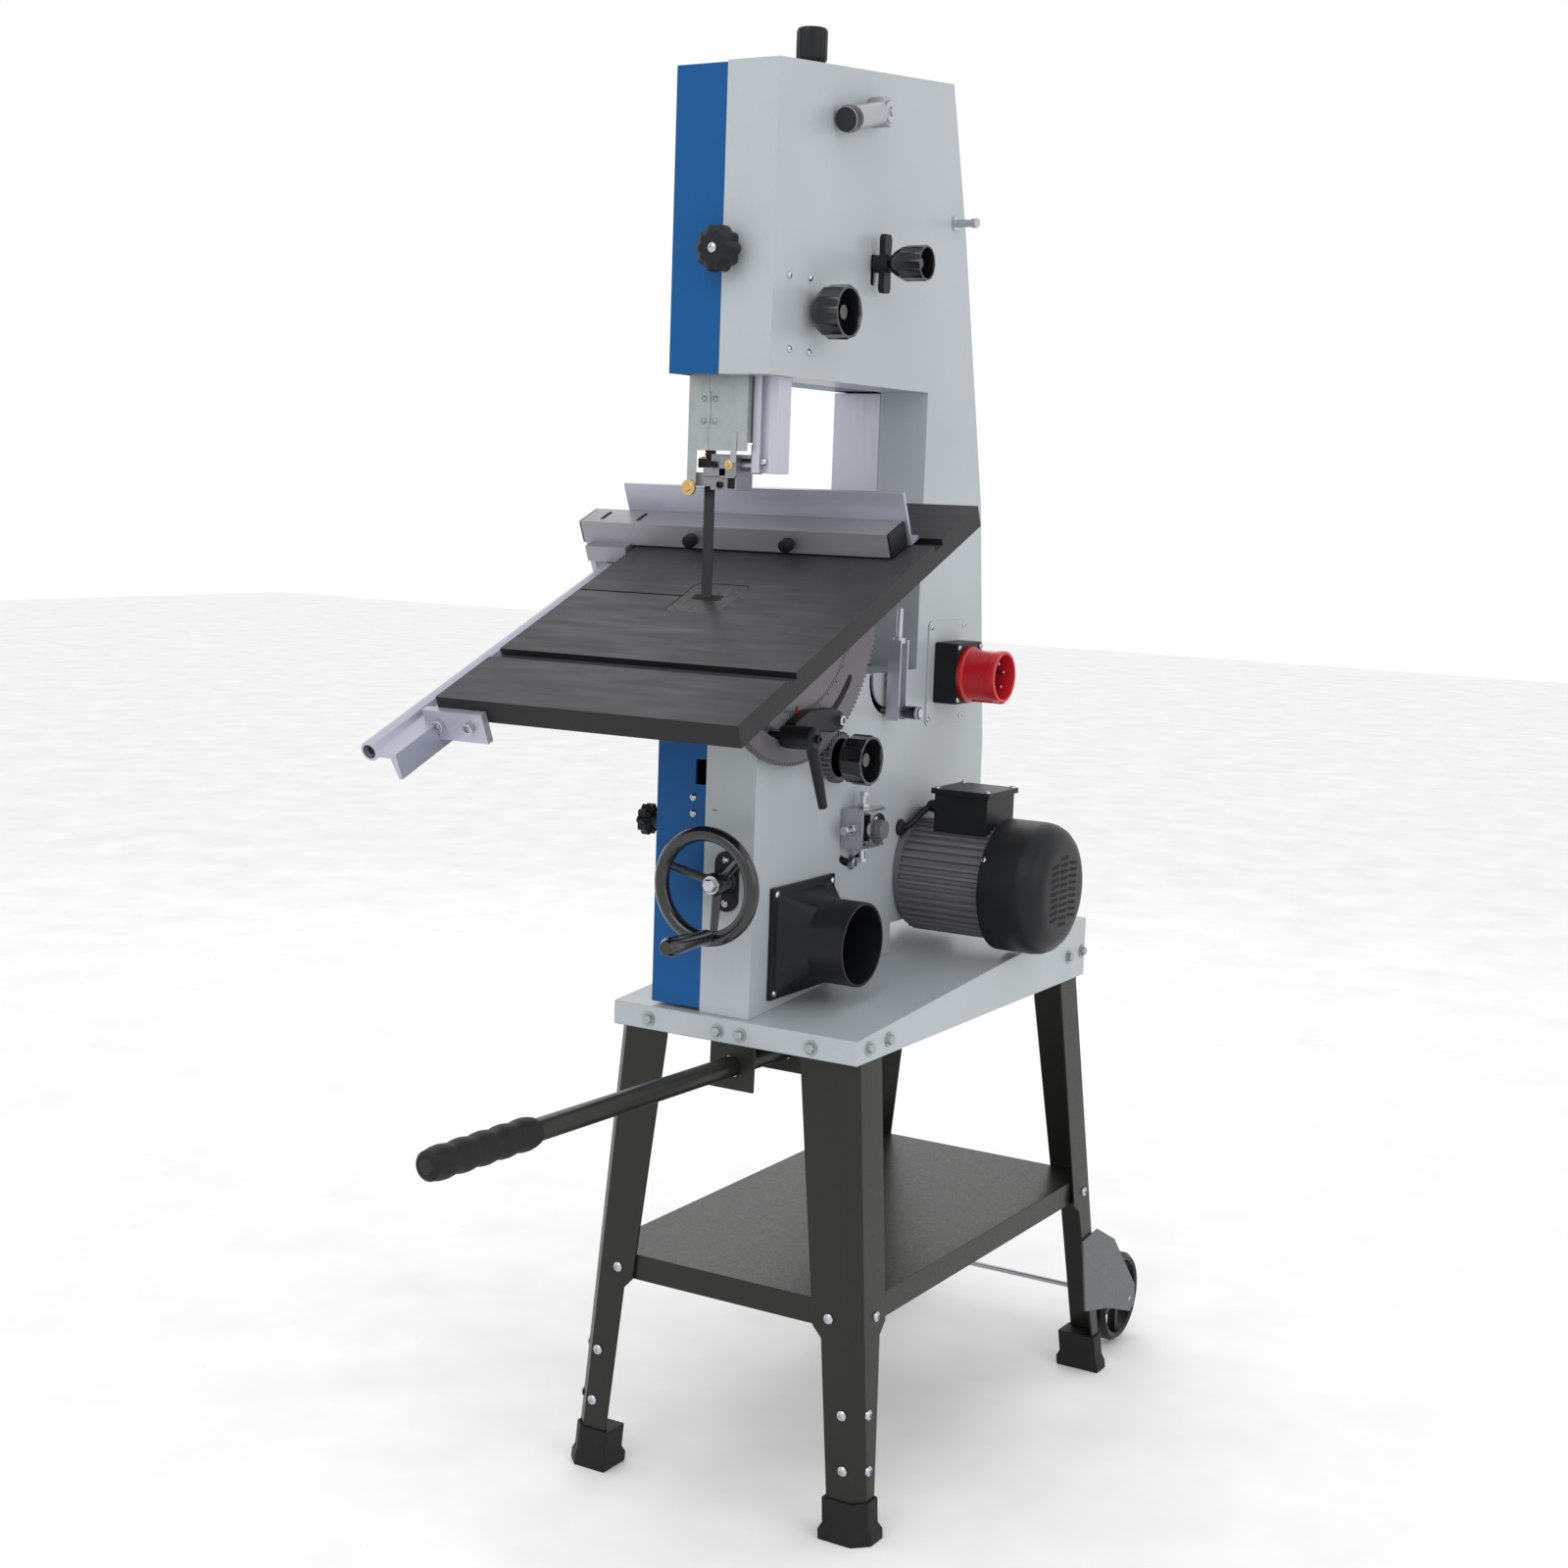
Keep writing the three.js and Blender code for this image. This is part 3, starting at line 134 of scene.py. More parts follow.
# ------------------------------------------------------------------ materials
def surface(name, colour, rough, metal=0.0, grain=(400, 0.1, 0.04), mottle=(6, 0.05),
            stretch=(1, 1, 1), coat=0.0, shine=0.5):
    """A procedural finish. grain is (scale per metre, bump, roughness swing), mottle is
    (scale per metre, brightness swing), stretch draws the grain out along an axis and
    shine is the strength of its reflection."""
    mat = bpy.data.materials.new(name)
    mat.use_nodes = True
    nodes, links = mat.node_tree.nodes, mat.node_tree.links
    shader = nodes["Principled BSDF"]
    shader.inputs["Metallic"].default_value = metal
    shader.inputs["Coat Weight"].default_value = coat
    shader.inputs["Specular IOR Level"].default_value = shine
    shader.inputs["Coat Roughness"].default_value = 0.15
    place = nodes.new("ShaderNodeTexCoord")
    scale = nodes.new("ShaderNodeMapping")
    scale.inputs["Scale"].default_value = stretch
    links.new(place.outputs["Object"], scale.inputs["Vector"])

    def noise(density, detail, vector):
        node = nodes.new("ShaderNodeTexNoise")
        node.inputs["Scale"].default_value = density
        node.inputs["Detail"].default_value = detail
        links.new(vector, node.inputs["Vector"])
        return node.outputs["Fac"]

    def swing(value, low, high):
        node = nodes.new("ShaderNodeMapRange")
        node.inputs["From Min"].default_value = 0.3
        node.inputs["From Max"].default_value = 0.7
        node.inputs["To Min"].default_value = low
        node.inputs["To Max"].default_value = high
        links.new(value, node.inputs["Value"])
        return node.outputs["Result"]

    fine = noise(grain[0], 3, scale.outputs["Vector"])
    broad = noise(mottle[0], 5, place.outputs["Object"])
    tint = nodes.new("ShaderNodeMix")
    tint.data_type = "RGBA"
    tint.inputs["A"].default_value = (*[c * (1 - mottle[1]) for c in colour], 1)
    tint.inputs["B"].default_value = (*[min(1, c * (1 + mottle[1])) for c in colour], 1)
    mixed = nodes.new("ShaderNodeMath")
    mixed.operation = "ADD"
    mixed.use_clamp = True
    links.new(swing(broad, 0, 0.7), mixed.inputs[0])
    links.new(swing(fine, 0, 0.3), mixed.inputs[1])
    links.new(mixed.outputs[0], tint.inputs["Factor"])
    links.new(tint.outputs["Result"], shader.inputs["Base Color"])
    links.new(swing(fine, rough - grain[2], rough + grain[2]), shader.inputs["Roughness"])
    bump = nodes.new("ShaderNodeBump")
    bump.inputs["Strength"].default_value = grain[1]
    bump.inputs["Distance"].default_value = 0.0006
    links.new(fine, bump.inputs["Height"])
    links.new(bump.outputs["Normal"], shader.inputs["Normal"])
    return mat


set_camera()
GREY = surface("grey_enamel", (0.385, 0.42, 0.44), 0.36, grain=(330, 0.30, 0.06), coat=0.15)
BLUE = surface("blue_enamel", (0.0, 0.075, 0.245), 0.36, grain=(420, 0.10, 0.05), shine=0.22)
DARK = surface("olive_enamel", (0.014, 0.014, 0.010), 0.36, grain=(300, 0.15, 0.06), shine=0.3)
RUBBER = surface("rubber", (0.008, 0.008, 0.009), 0.55, grain=(900, 0.2, 0.08), shine=0.25)
IRON = surface("ground_iron", (0.045, 0.043, 0.048), 0.5, 0.2, (160, 0.10, 0.1), (14, 0.16),
               (0.25, 0.06, 1), shine=0.3)
CASTING = surface("sand_casting", (0.15, 0.145, 0.155), 0.55, 0.4, (700, 0.35, 0.1), (12, 0.12))
ALU = surface("extrusion", (0.44, 0.45, 0.53), 0.38, 0.6, (260, 0.08, 0.08), (5, 0.05),
              (1, 0.04, 1))
ALU_UP = surface("upright_extrusion", (0.50, 0.51, 0.58), 0.36, 0.6, (260, 0.08, 0.08), (5, 0.05),
                 (1, 1, 0.04))
STEEL = surface("bright_steel", (0.42, 0.43, 0.45), 0.32, 0.9, (900, 0.02, 0.03), (10, 0.05))
ZINC = surface("galvanised", (0.36, 0.39, 0.39), 0.42, 0.7, (160, 0.04, 0.12), (60, 0.10))
CHROME = surface("plated", (0.5, 0.51, 0.54), 0.16, 1.0, (200, 0.01, 0.05))
BRACKET = surface("bracket_paint", (0.085, 0.095, 0.095), 0.4, 0.2, (240, 0.1, 0.08), (14, 0.1))
SPRING = surface("spring_steel", (0.022, 0.024, 0.028), 0.34, 0.5, (300, 0.05, 0.1), (20, 0.1),
                 (1, 1, 0.1))
FINS = surface("motor_casting", (0.19, 0.185, 0.20), 0.42, 0.5, (260, 0.12, 0.1), (8, 0.1),
               (1, 0.05, 1))
BEAM = surface("beam_extrusion", (0.29, 0.285, 0.31), 0.4, 0.5, (260, 0.08, 0.08), (5, 0.06),
               (1, 0.04, 1))
INSERT = surface("insert_plate", (0.026, 0.026, 0.028), 0.45, 0.2, (200, 0.08, 0.1), (14, 0.12))
GUIDE = surface("guide_casting", (0.24, 0.24, 0.27), 0.4, 0.4, (500, 0.12, 0.08), (16, 0.1))
EDGE = surface("painted_edge", (0.012, 0.012, 0.013), 0.4, grain=(260, 0.12, 0.06), shine=0.25)
BRASS = surface("brass", (0.62, 0.43, 0.17), 0.3, 0.95, (300, 0.06, 0.08))
BLACK = surface("moulded_black", (0.007, 0.008, 0.009), 0.42, grain=(1300, 0.2, 0.08), shine=0.25)
GLOSS = surface("gloss_black", (0.006, 0.0065, 0.008), 0.2, grain=(500, 0.04, 0.04), coat=0.4)
RED = surface("moulded_red", (0.50, 0.010, 0.02), 0.3, grain=(900, 0.08, 0.05))
VOID = surface("deep_shadow", (0.004, 0.004, 0.004), 0.9)
PALE = surface("scale_mark", (0.62, 0.62, 0.6), 0.5)
set_studio()


# ------------------------------------------------------------------ CAD nodes
def smoothing_group(limit):
    """Smooth shading that keeps edges sharper than the limit."""
    tree = bpy.data.node_groups.new("smooth_by_angle", "GeometryNodeTree")
    tree.interface.new_socket("Geometry", in_out="INPUT", socket_type="NodeSocketGeometry")
    tree.interface.new_socket("Geometry", in_out="OUTPUT", socket_type="NodeSocketGeometry")
    start, end = tree.nodes.new("NodeGroupInput"), tree.nodes.new("NodeGroupOutput")
    bare = tree.nodes.new("GeometryNodeRemoveAttribute")
    bare.inputs["Name"].default_value = "custom_normal"
    faces = tree.nodes.new("GeometryNodeSetShadeSmooth")
    edges = tree.nodes.new("GeometryNodeSetShadeSmooth")
    edges.domain = "EDGE"
    edges.inputs["Shade Smooth"].default_value = False
    angle = tree.nodes.new("GeometryNodeInputMeshEdgeAngle")
    sharp = tree.nodes.new("FunctionNodeCompare")
    sharp.operation = "GREATER_THAN"
    sharp.inputs["B"].default_value = limit
    tree.links.new(start.outputs[0], bare.inputs["Geometry"])
    tree.links.new(bare.outputs["Geometry"], faces.inputs["Geometry"])
    tree.links.new(faces.outputs[0], edges.inputs["Geometry"])
    tree.links.new(angle.outputs["Unsigned Angle"], sharp.inputs["A"])
    tree.links.new(sharp.outputs["Result"], edges.inputs["Selection"])
    tree.links.new(edges.outputs[0], end.inputs[0])
    return tree


SMOOTH = smoothing_group(math.radians(32))


def soften(obj, width):
    """Rounded edges and smooth curves, by modifiers only."""
    weld = obj.modifiers.new("weld", "WELD")
    weld.merge_threshold = 0.00001
    if width:
        bevel = obj.modifiers.new("edges", "BEVEL")
        bevel.width = width * MM
        bevel.segments = 2
        bevel.limit_method = "ANGLE"
        bevel.angle_limit = math.radians(33)
    obj.modifiers.new("smooth", "NODES").node_group = SMOOTH
    if width:
        flatter = obj.modifiers.new("flatter", "WEIGHTED_NORMAL")
        flatter.keep_sharp = True


def dress(material, width, *names):
    for name in names:
        obj = NODES[name]
        obj.data.materials.clear()
        obj.data.materials.append(material)
        soften(obj, width)


ENDS = ("front_near", "rear_near", "front_far", "rear_far")
dress(GREY, 2.2, "casing", "base_plate")
dress(BLUE, 1.6, "upper_door", "lower_door")
dress(DARK, 0.9, *[f"leg_{e}" for e in ENDS], "shelf", "lift_bar", "lift_bracket")
dress(ZINC, 0.4, "blade_guard", "guard_flap")
dress(BRACKET, 0.9, "caster_bracket_front", "caster_bracket_rear")
dress(SPRING, 0.2, "saw_blade")
dress(FINS, 0.6, "motor_body")
dress(BEAM, 0.6, "fence_beam")
dress(RUBBER, 1.5, *[f"foot_{e}" for e in ENDS])
dress(BLACK, 0.8, "caster_front", "caster_rear", "drive_belt", "motor_lead")
dress(IRON, 1.0, "table")
NODES["table"].data.materials.append(EDGE)
# The top is ground bare. The sides and the underside are painted.
for face in NODES["table"].data.polygons:
    face.material_index = 0 if face.normal.dot(Vector(TABLE_UP)) > 0.9 else 1
dress(CASTING, 0.5, "tilt_sector", "trunnion_cradle", "lower_wheel", "upper_wheel", "motor_pulley",
      "wheel_carriage")
dress(ALU, 0.5, "fence_rail", "fence_plate")
dress(ALU_UP, 0.6, "column_cover", "guide_post", "table_stop")
dress(GUIDE, 0.6, "guide_block")
dress(STEEL, 0.4, "caster_axle", "lower_bearing", "idler_arm", "tension_lever",
      "tracking_bracket")
dress(BLACK, 0.8, "motor_cowl", "terminal_box", "dust_port", "tension_knob", "wing_nut",
      "tracking_knob", "height_knob", "tilt_knob", "clamp_lever", "upper_lock_knob",
      "lower_lock_knob", "fence_screw_front", "fence_screw_rear")
dress(GLOSS, 0.8, "handwheel", "crank_grip")


# ------------------------------------------------------------------ piece building
def build(name, body, material, vertices, faces, width=0.0):
    mesh = bpy.data.meshes.new(name)
    mesh.from_pydata([tuple(v) for v in vertices], [], faces)
    mesh.validate()
    obj = bpy.data.objects.new(name, mesh)
    bpy.context.scene.collection.objects.link(obj)
    mesh.materials.append(material)
    soften(obj, width)
    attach(obj, body)
    return obj


def frame_of(axis):
    """Two directions square to an axis, for laying out sections round it."""
    ahead = Vector(axis).normalized()
    start = Vector((0, 0, 1)) if abs(ahead.z) < 0.9 else Vector((1, 0, 0))
    first = start.cross(ahead).normalized()
    return ahead, first, ahead.cross(first)


class Shapes:
    """Collects solids into one mesh, in design millimetres."""

    def __init__(self):
        self.vertices, self.faces = [], []

    def rings(self, rings, closed=False):
        """Skins closed rings of points and caps both ends, unless the rings close up."""
        base, count = len(self.vertices), len(rings[0])
        self.vertices += [at(*p) for ring in rings for p in ring]
        pairs = len(rings) if closed else len(rings) - 1
        for k in range(pairs):
            here, there = base + k * count, base + ((k + 1) % len(rings)) * count
            for i in range(count):
                j = (i + 1) % count
                self.faces.append((here + i, here + j, there + j, there + i))
        if not closed:
            self.faces.append(tuple(base + i for i in reversed(range(count))))
            self.faces.append(tuple(base + (len(rings) - 1) * count + i for i in range(count)))

    def turned(self, centre, axis, profile, sides=32):
        """Turns (radius, station) points about an axis through the centre."""
        ahead, first, second = frame_of(axis)
        rings = []
        for radius, station in profile:
            radius = max(radius, 0.01)
            middle = Vector(centre) + ahead * station
            angles = [2 * math.pi * i / sides for i in range(sides)]
            rings.append([middle + (first * math.cos(t) + second * math.sin(t)) * radius
                          for t in angles])
        self.rings(rings)

    def plate(self, centre, axis, outline, thick, turn=0.0):
        """A flat outline of (u, v) points, thick along the axis."""
        ahead, first, second = frame_of(axis)
        c, s = math.cos(turn), math.sin(turn)
        spread = [first * (u * c - v * s) + second * (u * s + v * c) for u, v in outline]
        self.rings([[Vector(centre) + p for p in spread],
                    [Vector(centre) + p + ahead * thick for p in spread]])

    def bar(self, start, end, half_wide, half_high, up=(0, 0, 1)):
        """A square bar between two points."""
        ahead = (Vector(end) - Vector(start)).normalized()
        side = ahead.cross(Vector(up)).normalized()
        top = side.cross(ahead)
        corners = [(-1, -1), (1, -1), (1, 1), (-1, 1)]
        self.rings([
            [Vector(p) + side * (u * half_wide) + top * (v * half_high) for u, v in corners]
            for p in (start, end)
        ])

    def make(self, name, body, material, width=0.0):
        return build(name, body, material, self.vertices, self.faces, width)


def rounded(half_u, half_v, radius, steps=4):
    points = []
    for k, (su, sv) in enumerate([(1, 1), (-1, 1), (-1, -1), (1, -1)]):
        for i in range(steps + 1):
            t = math.pi / 2 * (k + i / steps)
            points.append((
                su * (half_u - radius) + radius * math.cos(t),
                sv * (half_v - radius) + radius * math.sin(t),
            ))
    return points


def screws(name, body, spots, axis, radius, style="button", material=CHROME):
    """Screw heads in one piece. Each head stands on its spot and points along the axis."""
    shape = Shapes()
    for spot in spots:
        if style == "hex":
            shape.turned(spot, axis, [(radius * 1.45, 0), (radius * 1.45, 1.2), (0, 1.2)], 20)
            head = Vector(spot) + Vector(axis) * 1.1
            shape.turned(head, axis, [(radius, 0), (radius, radius * 0.7),
                                      (radius * 0.86, radius * 0.85), (0, radius * 0.85)], 6)
        elif style == "socket":
            profile = [(radius, 0), (radius, radius * 0.9), (radius * 0.9, radius),
                       (radius * 0.55, radius),
                       (radius * 0.5, radius * 0.5), (0, radius * 0.5)]
            shape.turned(spot, axis, profile, 18)
        else:
            profile = [(radius, 0), (radius * 0.96, radius * 0.25), (radius * 0.7, radius * 0.52),
                       (radius * 0.42, radius * 0.6), (radius * 0.38, radius * 0.3),
                       (0, radius * 0.3)]
            shape.turned(spot, axis, profile, 18)
    return shape.make(name, body, material)


# ------------------------------------------------------------------ stand details
LEG_TOP = 560
STAND_MIDDLE = -18


def spread(z):
    """How far down a leg a height is, from 0 at its top to 1 on the floor."""
    return 1 - z / LEG_TOP


def near_x(z):
    """The outer face of the legs under the blade side."""
    return 4.7 + 17 * spread(z)


def rear_y(z):
    """The outer face of the rear leg under the blade side."""
    return 148.7 + 43 * spread(z)


def across(y, sign):
    """A place on the rear legs, or its mirror image on the front legs."""
    return STAND_MIDDLE + sign * (y - STAND_MIDDLE)


def stand_details():
    near = [(8.1, y, 579) for y in (-136, -38, -6, 91)]
    screws("plate_screws_near", "frame", near, X, 6.2, "hex", ZINC)
    for name, y, sign in (("rear", 152.1, 1), ("front", -188.1, -1)):
        spots = [(x, y, 582 - x * 0.03) for x in (-21, -68, -585, -629)]
        screws(f"plate_screws_{name}", "frame", spots, (0, sign, 0), 6.2, "hex", ZINC)
    for name, sign in (("rear", 1), ("front", -1)):
        face = [(near_x(z), across(rear_y(z) - inset, sign), z)
                for z, inset in ((263, 40), (152, 24), (86, 24))]
        screws(f"leg_screws_{name}_near", "frame", face, X, 6.5)
        side = [(near_x(z) - inset, across(rear_y(z), sign), z)
                for z, inset in ((262, 42), (152, 20), (86, 18))]
        screws(f"leg_screws_{name}_side", "frame", side, (0, sign, 0), 6.5)
        shelf_z = 262
        far = (-639 - 38 * spread(shelf_z) + 34, across(148.7 + 51 * spread(shelf_z), sign),
               shelf_z)
        screws(f"leg_screws_{name}_far", "frame", [far], (0, sign, 0), 6.5)
    grip = Shapes()
    rise = math.radians(1.4)
    ahead = (math.cos(rise), 0, math.sin(rise))
    profile = [(15.6, 391)]
    for k in range(5):
        start = 393 + k * 33
        profile += [(17.0, start + 4), (18.0, start + 12), (17.6, start + 22), (15.8, start + 30)]
    profile += [(15.8, 558), (12, 561.4), (0, 561.6)]
    grip.turned((0, -20, 538), ahead, profile, 28)
    grip.make("lift_grip_ribs", "lifting_bar", RUBBER)
    screws("caster_nuts_rear", "frame", [(-770, 187.5, 68)], Y, 6, "hex")
    screws("caster_nuts_front", "frame", [(-770, -223.5, 68)], (0, -1, 0), 6, "hex")
    screws("caster_bracket_screws", "frame", [(-635, 188.5, 118), (-635, 181.5, 180)], Y, 5)


# ------------------------------------------------------------------ casing details
def cup_knob(name, body, node, centre, radius, start, length, inner):
    """A deep hollow knob on a cone, with broad flats between raised ribs."""
    sides, ribs = 96, 12
    # Each ring is (share of the radius, station, depth of the fluting).
    cone, mouth = start + length * 0.36, start + length
    outline = [(0.5, start, 0), (0.72, start + length * 0.12, 0), (0.985, cone, 1),
               (1.0, cone + 2, 1),
               (1.0, mouth - 1, 1), (0.97, mouth, 0.4), (0.86, mouth, 0), (0.82, mouth - 3, 0),
               (0.79, cone + 4, 0),
               (0.02, cone + 4, 0)]
    shape = Shapes()
    rings = []
    for share, station, fluted in outline:
        ring = []
        for i in range(sides):
            t = 2 * math.pi * i / sides
            valley = 0.055 * (1 - abs(math.cos(t * ribs / 2)) ** 6) * fluted
            reach = radius * (share - valley)
            ring.append((centre[0] + reach * math.cos(t), station,
                         centre[2] - reach * math.sin(t)))
        rings.append(ring)
    shape.rings(rings)
    shape.turned(centre, Y, [(radius * 0.3, cone + 3.8), (radius * 0.27, mouth - 8),
                             (0, mouth - 8)], 24)
    for reach, low, high in inner:
        shape.turned(centre, Y, [(reach, low), (reach, high)], 24)
    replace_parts(shape.make(name, body, GLOSS), node)


def fluted_knobs():
    cup_knob("height_cup", "guide_pinion", "height_knob", (-98, 0, 1426), 31.5, 3, 43,
             [(6, -45, 6), (16, -44, -22)])
    cup_knob("tracking_cup", "tracking_screw", "tracking_knob", (-234, 0, 1495), 21.5, 28, 46,
             [(5, -33.9, 32)])
    cup_knob("tilt_cup", "tilt_pinion", "tilt_knob", (TILT_PINION[0], 0, TILT_PINION[1]), 31, 21,
             41, [(7, -8, 23), (24, 9, 19)])
    gear = Shapes()
    outline = []
    for k in range(30):
        for reach, step in ((27.4, -0.31), (31.8, -0.13), (31.8, 0.13), (27.4, 0.31)):
            t = math.radians(66.3 + 12 * (k + step))
            outline.append((reach * math.cos(t), reach * math.sin(t)))
    gear.plate((TILT_PINION[0], 9, TILT_PINION[1]), Y, outline, 10)
    gear.make("tilt_pinion_teeth", "tilt_pinion", CASTING)


def casing_details():
    screws("guide_carrier_screws", "frame", [(-36, 0.1, 1463), (-84, 0.1, 1464), (-41, 0.1, 1380),
                                             (-86.5, 0.1, 1379)], Y, 4.2)
    screws("blade_guide_screws", "lower_door_body", [(0.1, -86.5, 854), (0.1, -86, 834.6)], X, 4.6)
    screws("side_screw", "frame", [(0.1, -56, 839.5)], X, 3)
    stud = Shapes()
    stud.turned((-447, 0, 1568), Y, [(9, 0.2), (9, 2), (5, 2.2), (5, 24), (6.5, 26), (6.5, 32),
                                     (5, 34), (0, 34)])
    stud.make("hanger_stud", "frame", CHROME)
    plate = Shapes()
    plate.plate((-475.5, 0.15, 985), Y, rounded(54, 69, 7), 1.4)
    plate.make("inlet_plate", "frame", GREY, 0.4)
    corners = [(-475.5 + u * 47, 1.5, 985 + v * 61) for u in (-1, 1) for v in (-1, 1)]
    screws("inlet_plate_screws", "frame", corners, Y, 3.6)
    flange = [(DUST[0] + u * 66, 5.6, DUST[1] + v * 60) for u in (-1, 1) for v in (-1, 1)]
    screws("dust_port_screws", "frame", flange, Y, 4.5)
    nut = Shapes()
    nut.turned((34, *HANDWHEEL), X, [(11, 2), (11, 4), (0, 4)], 24)
    nut.turned((38, *HANDWHEEL), X, [(8.5, 0), (8.5, 5), (7, 6.5), (0, 6.5)], 6)
    nut.make("handwheel_nut", "crank_wheel", CHROME)
    rim = Shapes()
    sections = []
    for k in range(48):
        t = 2 * math.pi * k / 48
        section = []
        for i in range(14):
            s = 2 * math.pi * i / 14
            reach = 62 + 9 * math.cos(s)
            section.append((47 + 8.6 * math.sin(s), HANDWHEEL[0] + reach * math.cos(t),
                            HANDWHEEL[1] + reach * math.sin(t)))
        sections.append(section)
    rim.rings(sections, closed=True)
    rim.make("handwheel_rim", "crank_wheel", GLOSS)
    bearing = Shapes()
    bearing.plate((0.2, *HANDWHEEL), X, rounded(16, 36, 15.5, 8), 5)
    bearing.turned((0, *HANDWHEEL), X, [(15, 5), (13, 8.6), (8, 8.6), (8, 5)])
    bearing.make("handwheel_bearing", "frame", BLACK, 0.6)
    screws("handwheel_bearing_screws", "frame",
           [(5.3, HANDWHEEL[0], HANDWHEEL[1] + s * 26) for s in (-1, 1)], X, 4.6)
    screws("upper_lock_screw", "upper_lock", [(32.2, -62, 1488)], X, 6)
    for door, long, heights in (("upper", 50, (1390, 1660)), ("lower", 40, (760, 940))):
        for z in heights:
            hinge = Shapes()
            profile = [(4, 0), (4.4, 1), (4.4, long - 1), (4, long)]
            hinge.turned((*DOOR_HINGE, z), Z, profile, 16)
            hinge.make(f"{door}_hinge_{z}", "frame", BLACK)
    cap = Shapes()
    tip = math.radians(-14)
    reach = Vector((math.cos(tip), 0, math.sin(tip)))
    end = Vector((LEVER[0], 16.5, LEVER[1])) + reach * 76
    cap.turned(end, reach, [(13.4, 0), (15.8, 2), (16, 12), (14, 17), (0, 18)])
    cap.make("tension_lever_cap", "quick_lever", GLOSS)
    collar = Shapes()
    collar.turned((LEVER[0], 0, LEVER[1]), Y, [(13, 25), (13, 28), (6, 28.2), (6, 31), (0, 31)],
                  20)
    collar.make("tension_lever_screw", "quick_lever", CHROME)


# ------------------------------------------------------------------ inlet and motor
def electrics():
    case = Shapes()
    case.plate((-477, 1.6, 986), Y, rounded(37.5, 40.5, 4), 33)
    box = case.make("inlet_case", "frame", BLACK, 1.2)
    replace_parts(box, "power_inlet")
    screws("inlet_case_screws", "frame", [(-477 + u * 31, 34.7, 986 + v * 34) for u in (-1, 1)
                                          for v in (-1, 1)], Y, 4)
    shroud = Shapes()
    centre = (INLET[0], 0, INLET[1])
    shroud.turned(centre, Y, [(0, 34), (36.5, 34), (37, 35), (37, 40), (33.4, 42), (33.4, 76),
                              (34.4, 77),
                              (34.4, 86), (33.6, 87.8), (30, 87.8), (29.5, 86), (29.5, 52),
                              (0, 52)], 48)
    shroud.bar((INLET[0], 44, 951), (INLET[0], 87.6, 951), 5, 2.4)
    shroud.make("inlet_shroud", "frame", RED)
    base = Shapes()
    base.turned(centre, Y, [(29.3, 52), (29.3, 55), (0, 55)], 32)
    base.make("inlet_base", "frame", BLACK)
    pins = Shapes()
    for k in range(5):
        t = math.radians(90 + 72 * k)
        spot = (INLET[0] + 17 * math.cos(t), 0, INLET[1] + 17 * math.sin(t))
        pins.turned(spot, Y, [(3, 50), (3, 76), (2.2, 79), (0, 79.5)], 14)
    pins.make("inlet_pins", "frame", CHROME)
    lid = [(-422.5 + u * 38, 78 + v * 36, 841.1) for u in (-1, 1) for v in (-1, 1)]
    screws("terminal_lid_screws", "frame", lid, Z, 4)
    cowl = Shapes()
    cowl.turned((MOTOR[0], 0, MOTOR[1]), Y, [(0, 127.5), (83, 127.5), (85.8, 129.5), (86, 178),
                                             (84.4, 189), (80, 198.5),
                                    (73, 205.5), (64, 210), (54, 211.4), (0, 211.6)], 64)
    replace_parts(cowl.make("cowl_shell", "frame", BLACK), "motor_cowl")
    slots = Shapes()
    for column in (-1, 0, 1):
        for row in range(-5, 6):
            u, v = column * 27, row * 8.6
            if math.hypot(abs(u) + 10, v) < 52:
                slots.plate((MOTOR[0] + u, 210.2, MOTOR[1] + v), Y, rounded(11, 2.1, 2), 1.6,
                            math.radians(6 * column))
    slots.make("cowl_vents", "frame", VOID)
    screw = (MOTOR[0] + 84 * math.cos(0.5), 132, MOTOR[1] + 84 * math.sin(0.5))
    screws("cowl_screws", "frame", [screw], (0.88, 0, 0.48), 4)
    gland = Shapes()
    gland.turned((-396, 44, 815), (0, -1, 0),
                 [(9.5, 2), (10, 4), (10, 9), (8.5, 10), (8.5, 14), (6.5, 19), (4.7, 20)], 12)
    gland.make("terminal_gland", "frame", BLACK, 0.4)
    entry = Shapes()
    entry.turned((-363, 0.2, 787), Y, [(11, 0), (11, 2.5), (6.5, 7), (4.7, 7.2)], 24)
    entry.make("wall_grommet", "frame", RUBBER)


# ------------------------------------------------------------------ drive side
def adjusters():
    bolts = Shapes()
    for start, axis in (((-234, 16, 828), Z), ((-234, 16, 779), (0, 0, -1)), ((-205, 16, 803), X)):
        bolts.turned(start, axis, [(8, 0.2), (8, 4.5), (6.9, 5.2), (4, 5.2)], 6)
        bolts.turned(start, axis, [(4, 0), (4, 15), (3.4, 16), (0, 16)], 16)
        bolts.turned(Vector(start) + Vector(axis) * 15, axis,
                     [(7, 0), (7, 4.6), (5.8, 5.4), (0, 5.4)], 6)
    bolts.make("wheel_alignment_bolts", "frame", CHROME, 0.3)
    screws("idler_clamp", "idler", [(-234, 1, 757)], Y, 6.5, "hex")
    ring = Shapes()
    ring.turned((WHEEL_AXIS[0], 0, WHEEL_AXIS[1]), Y,
                [(17, 22.3), (17, 31), (20.5, 32), (20.5, 38), (12.6, 38.2), (12.6, 22.3)], 28)
    ring.make("shaft_collar", "frame", CHROME)
    screws("collar_screw", "frame", [(-227, 38.3, 817)], Y, 2.6)


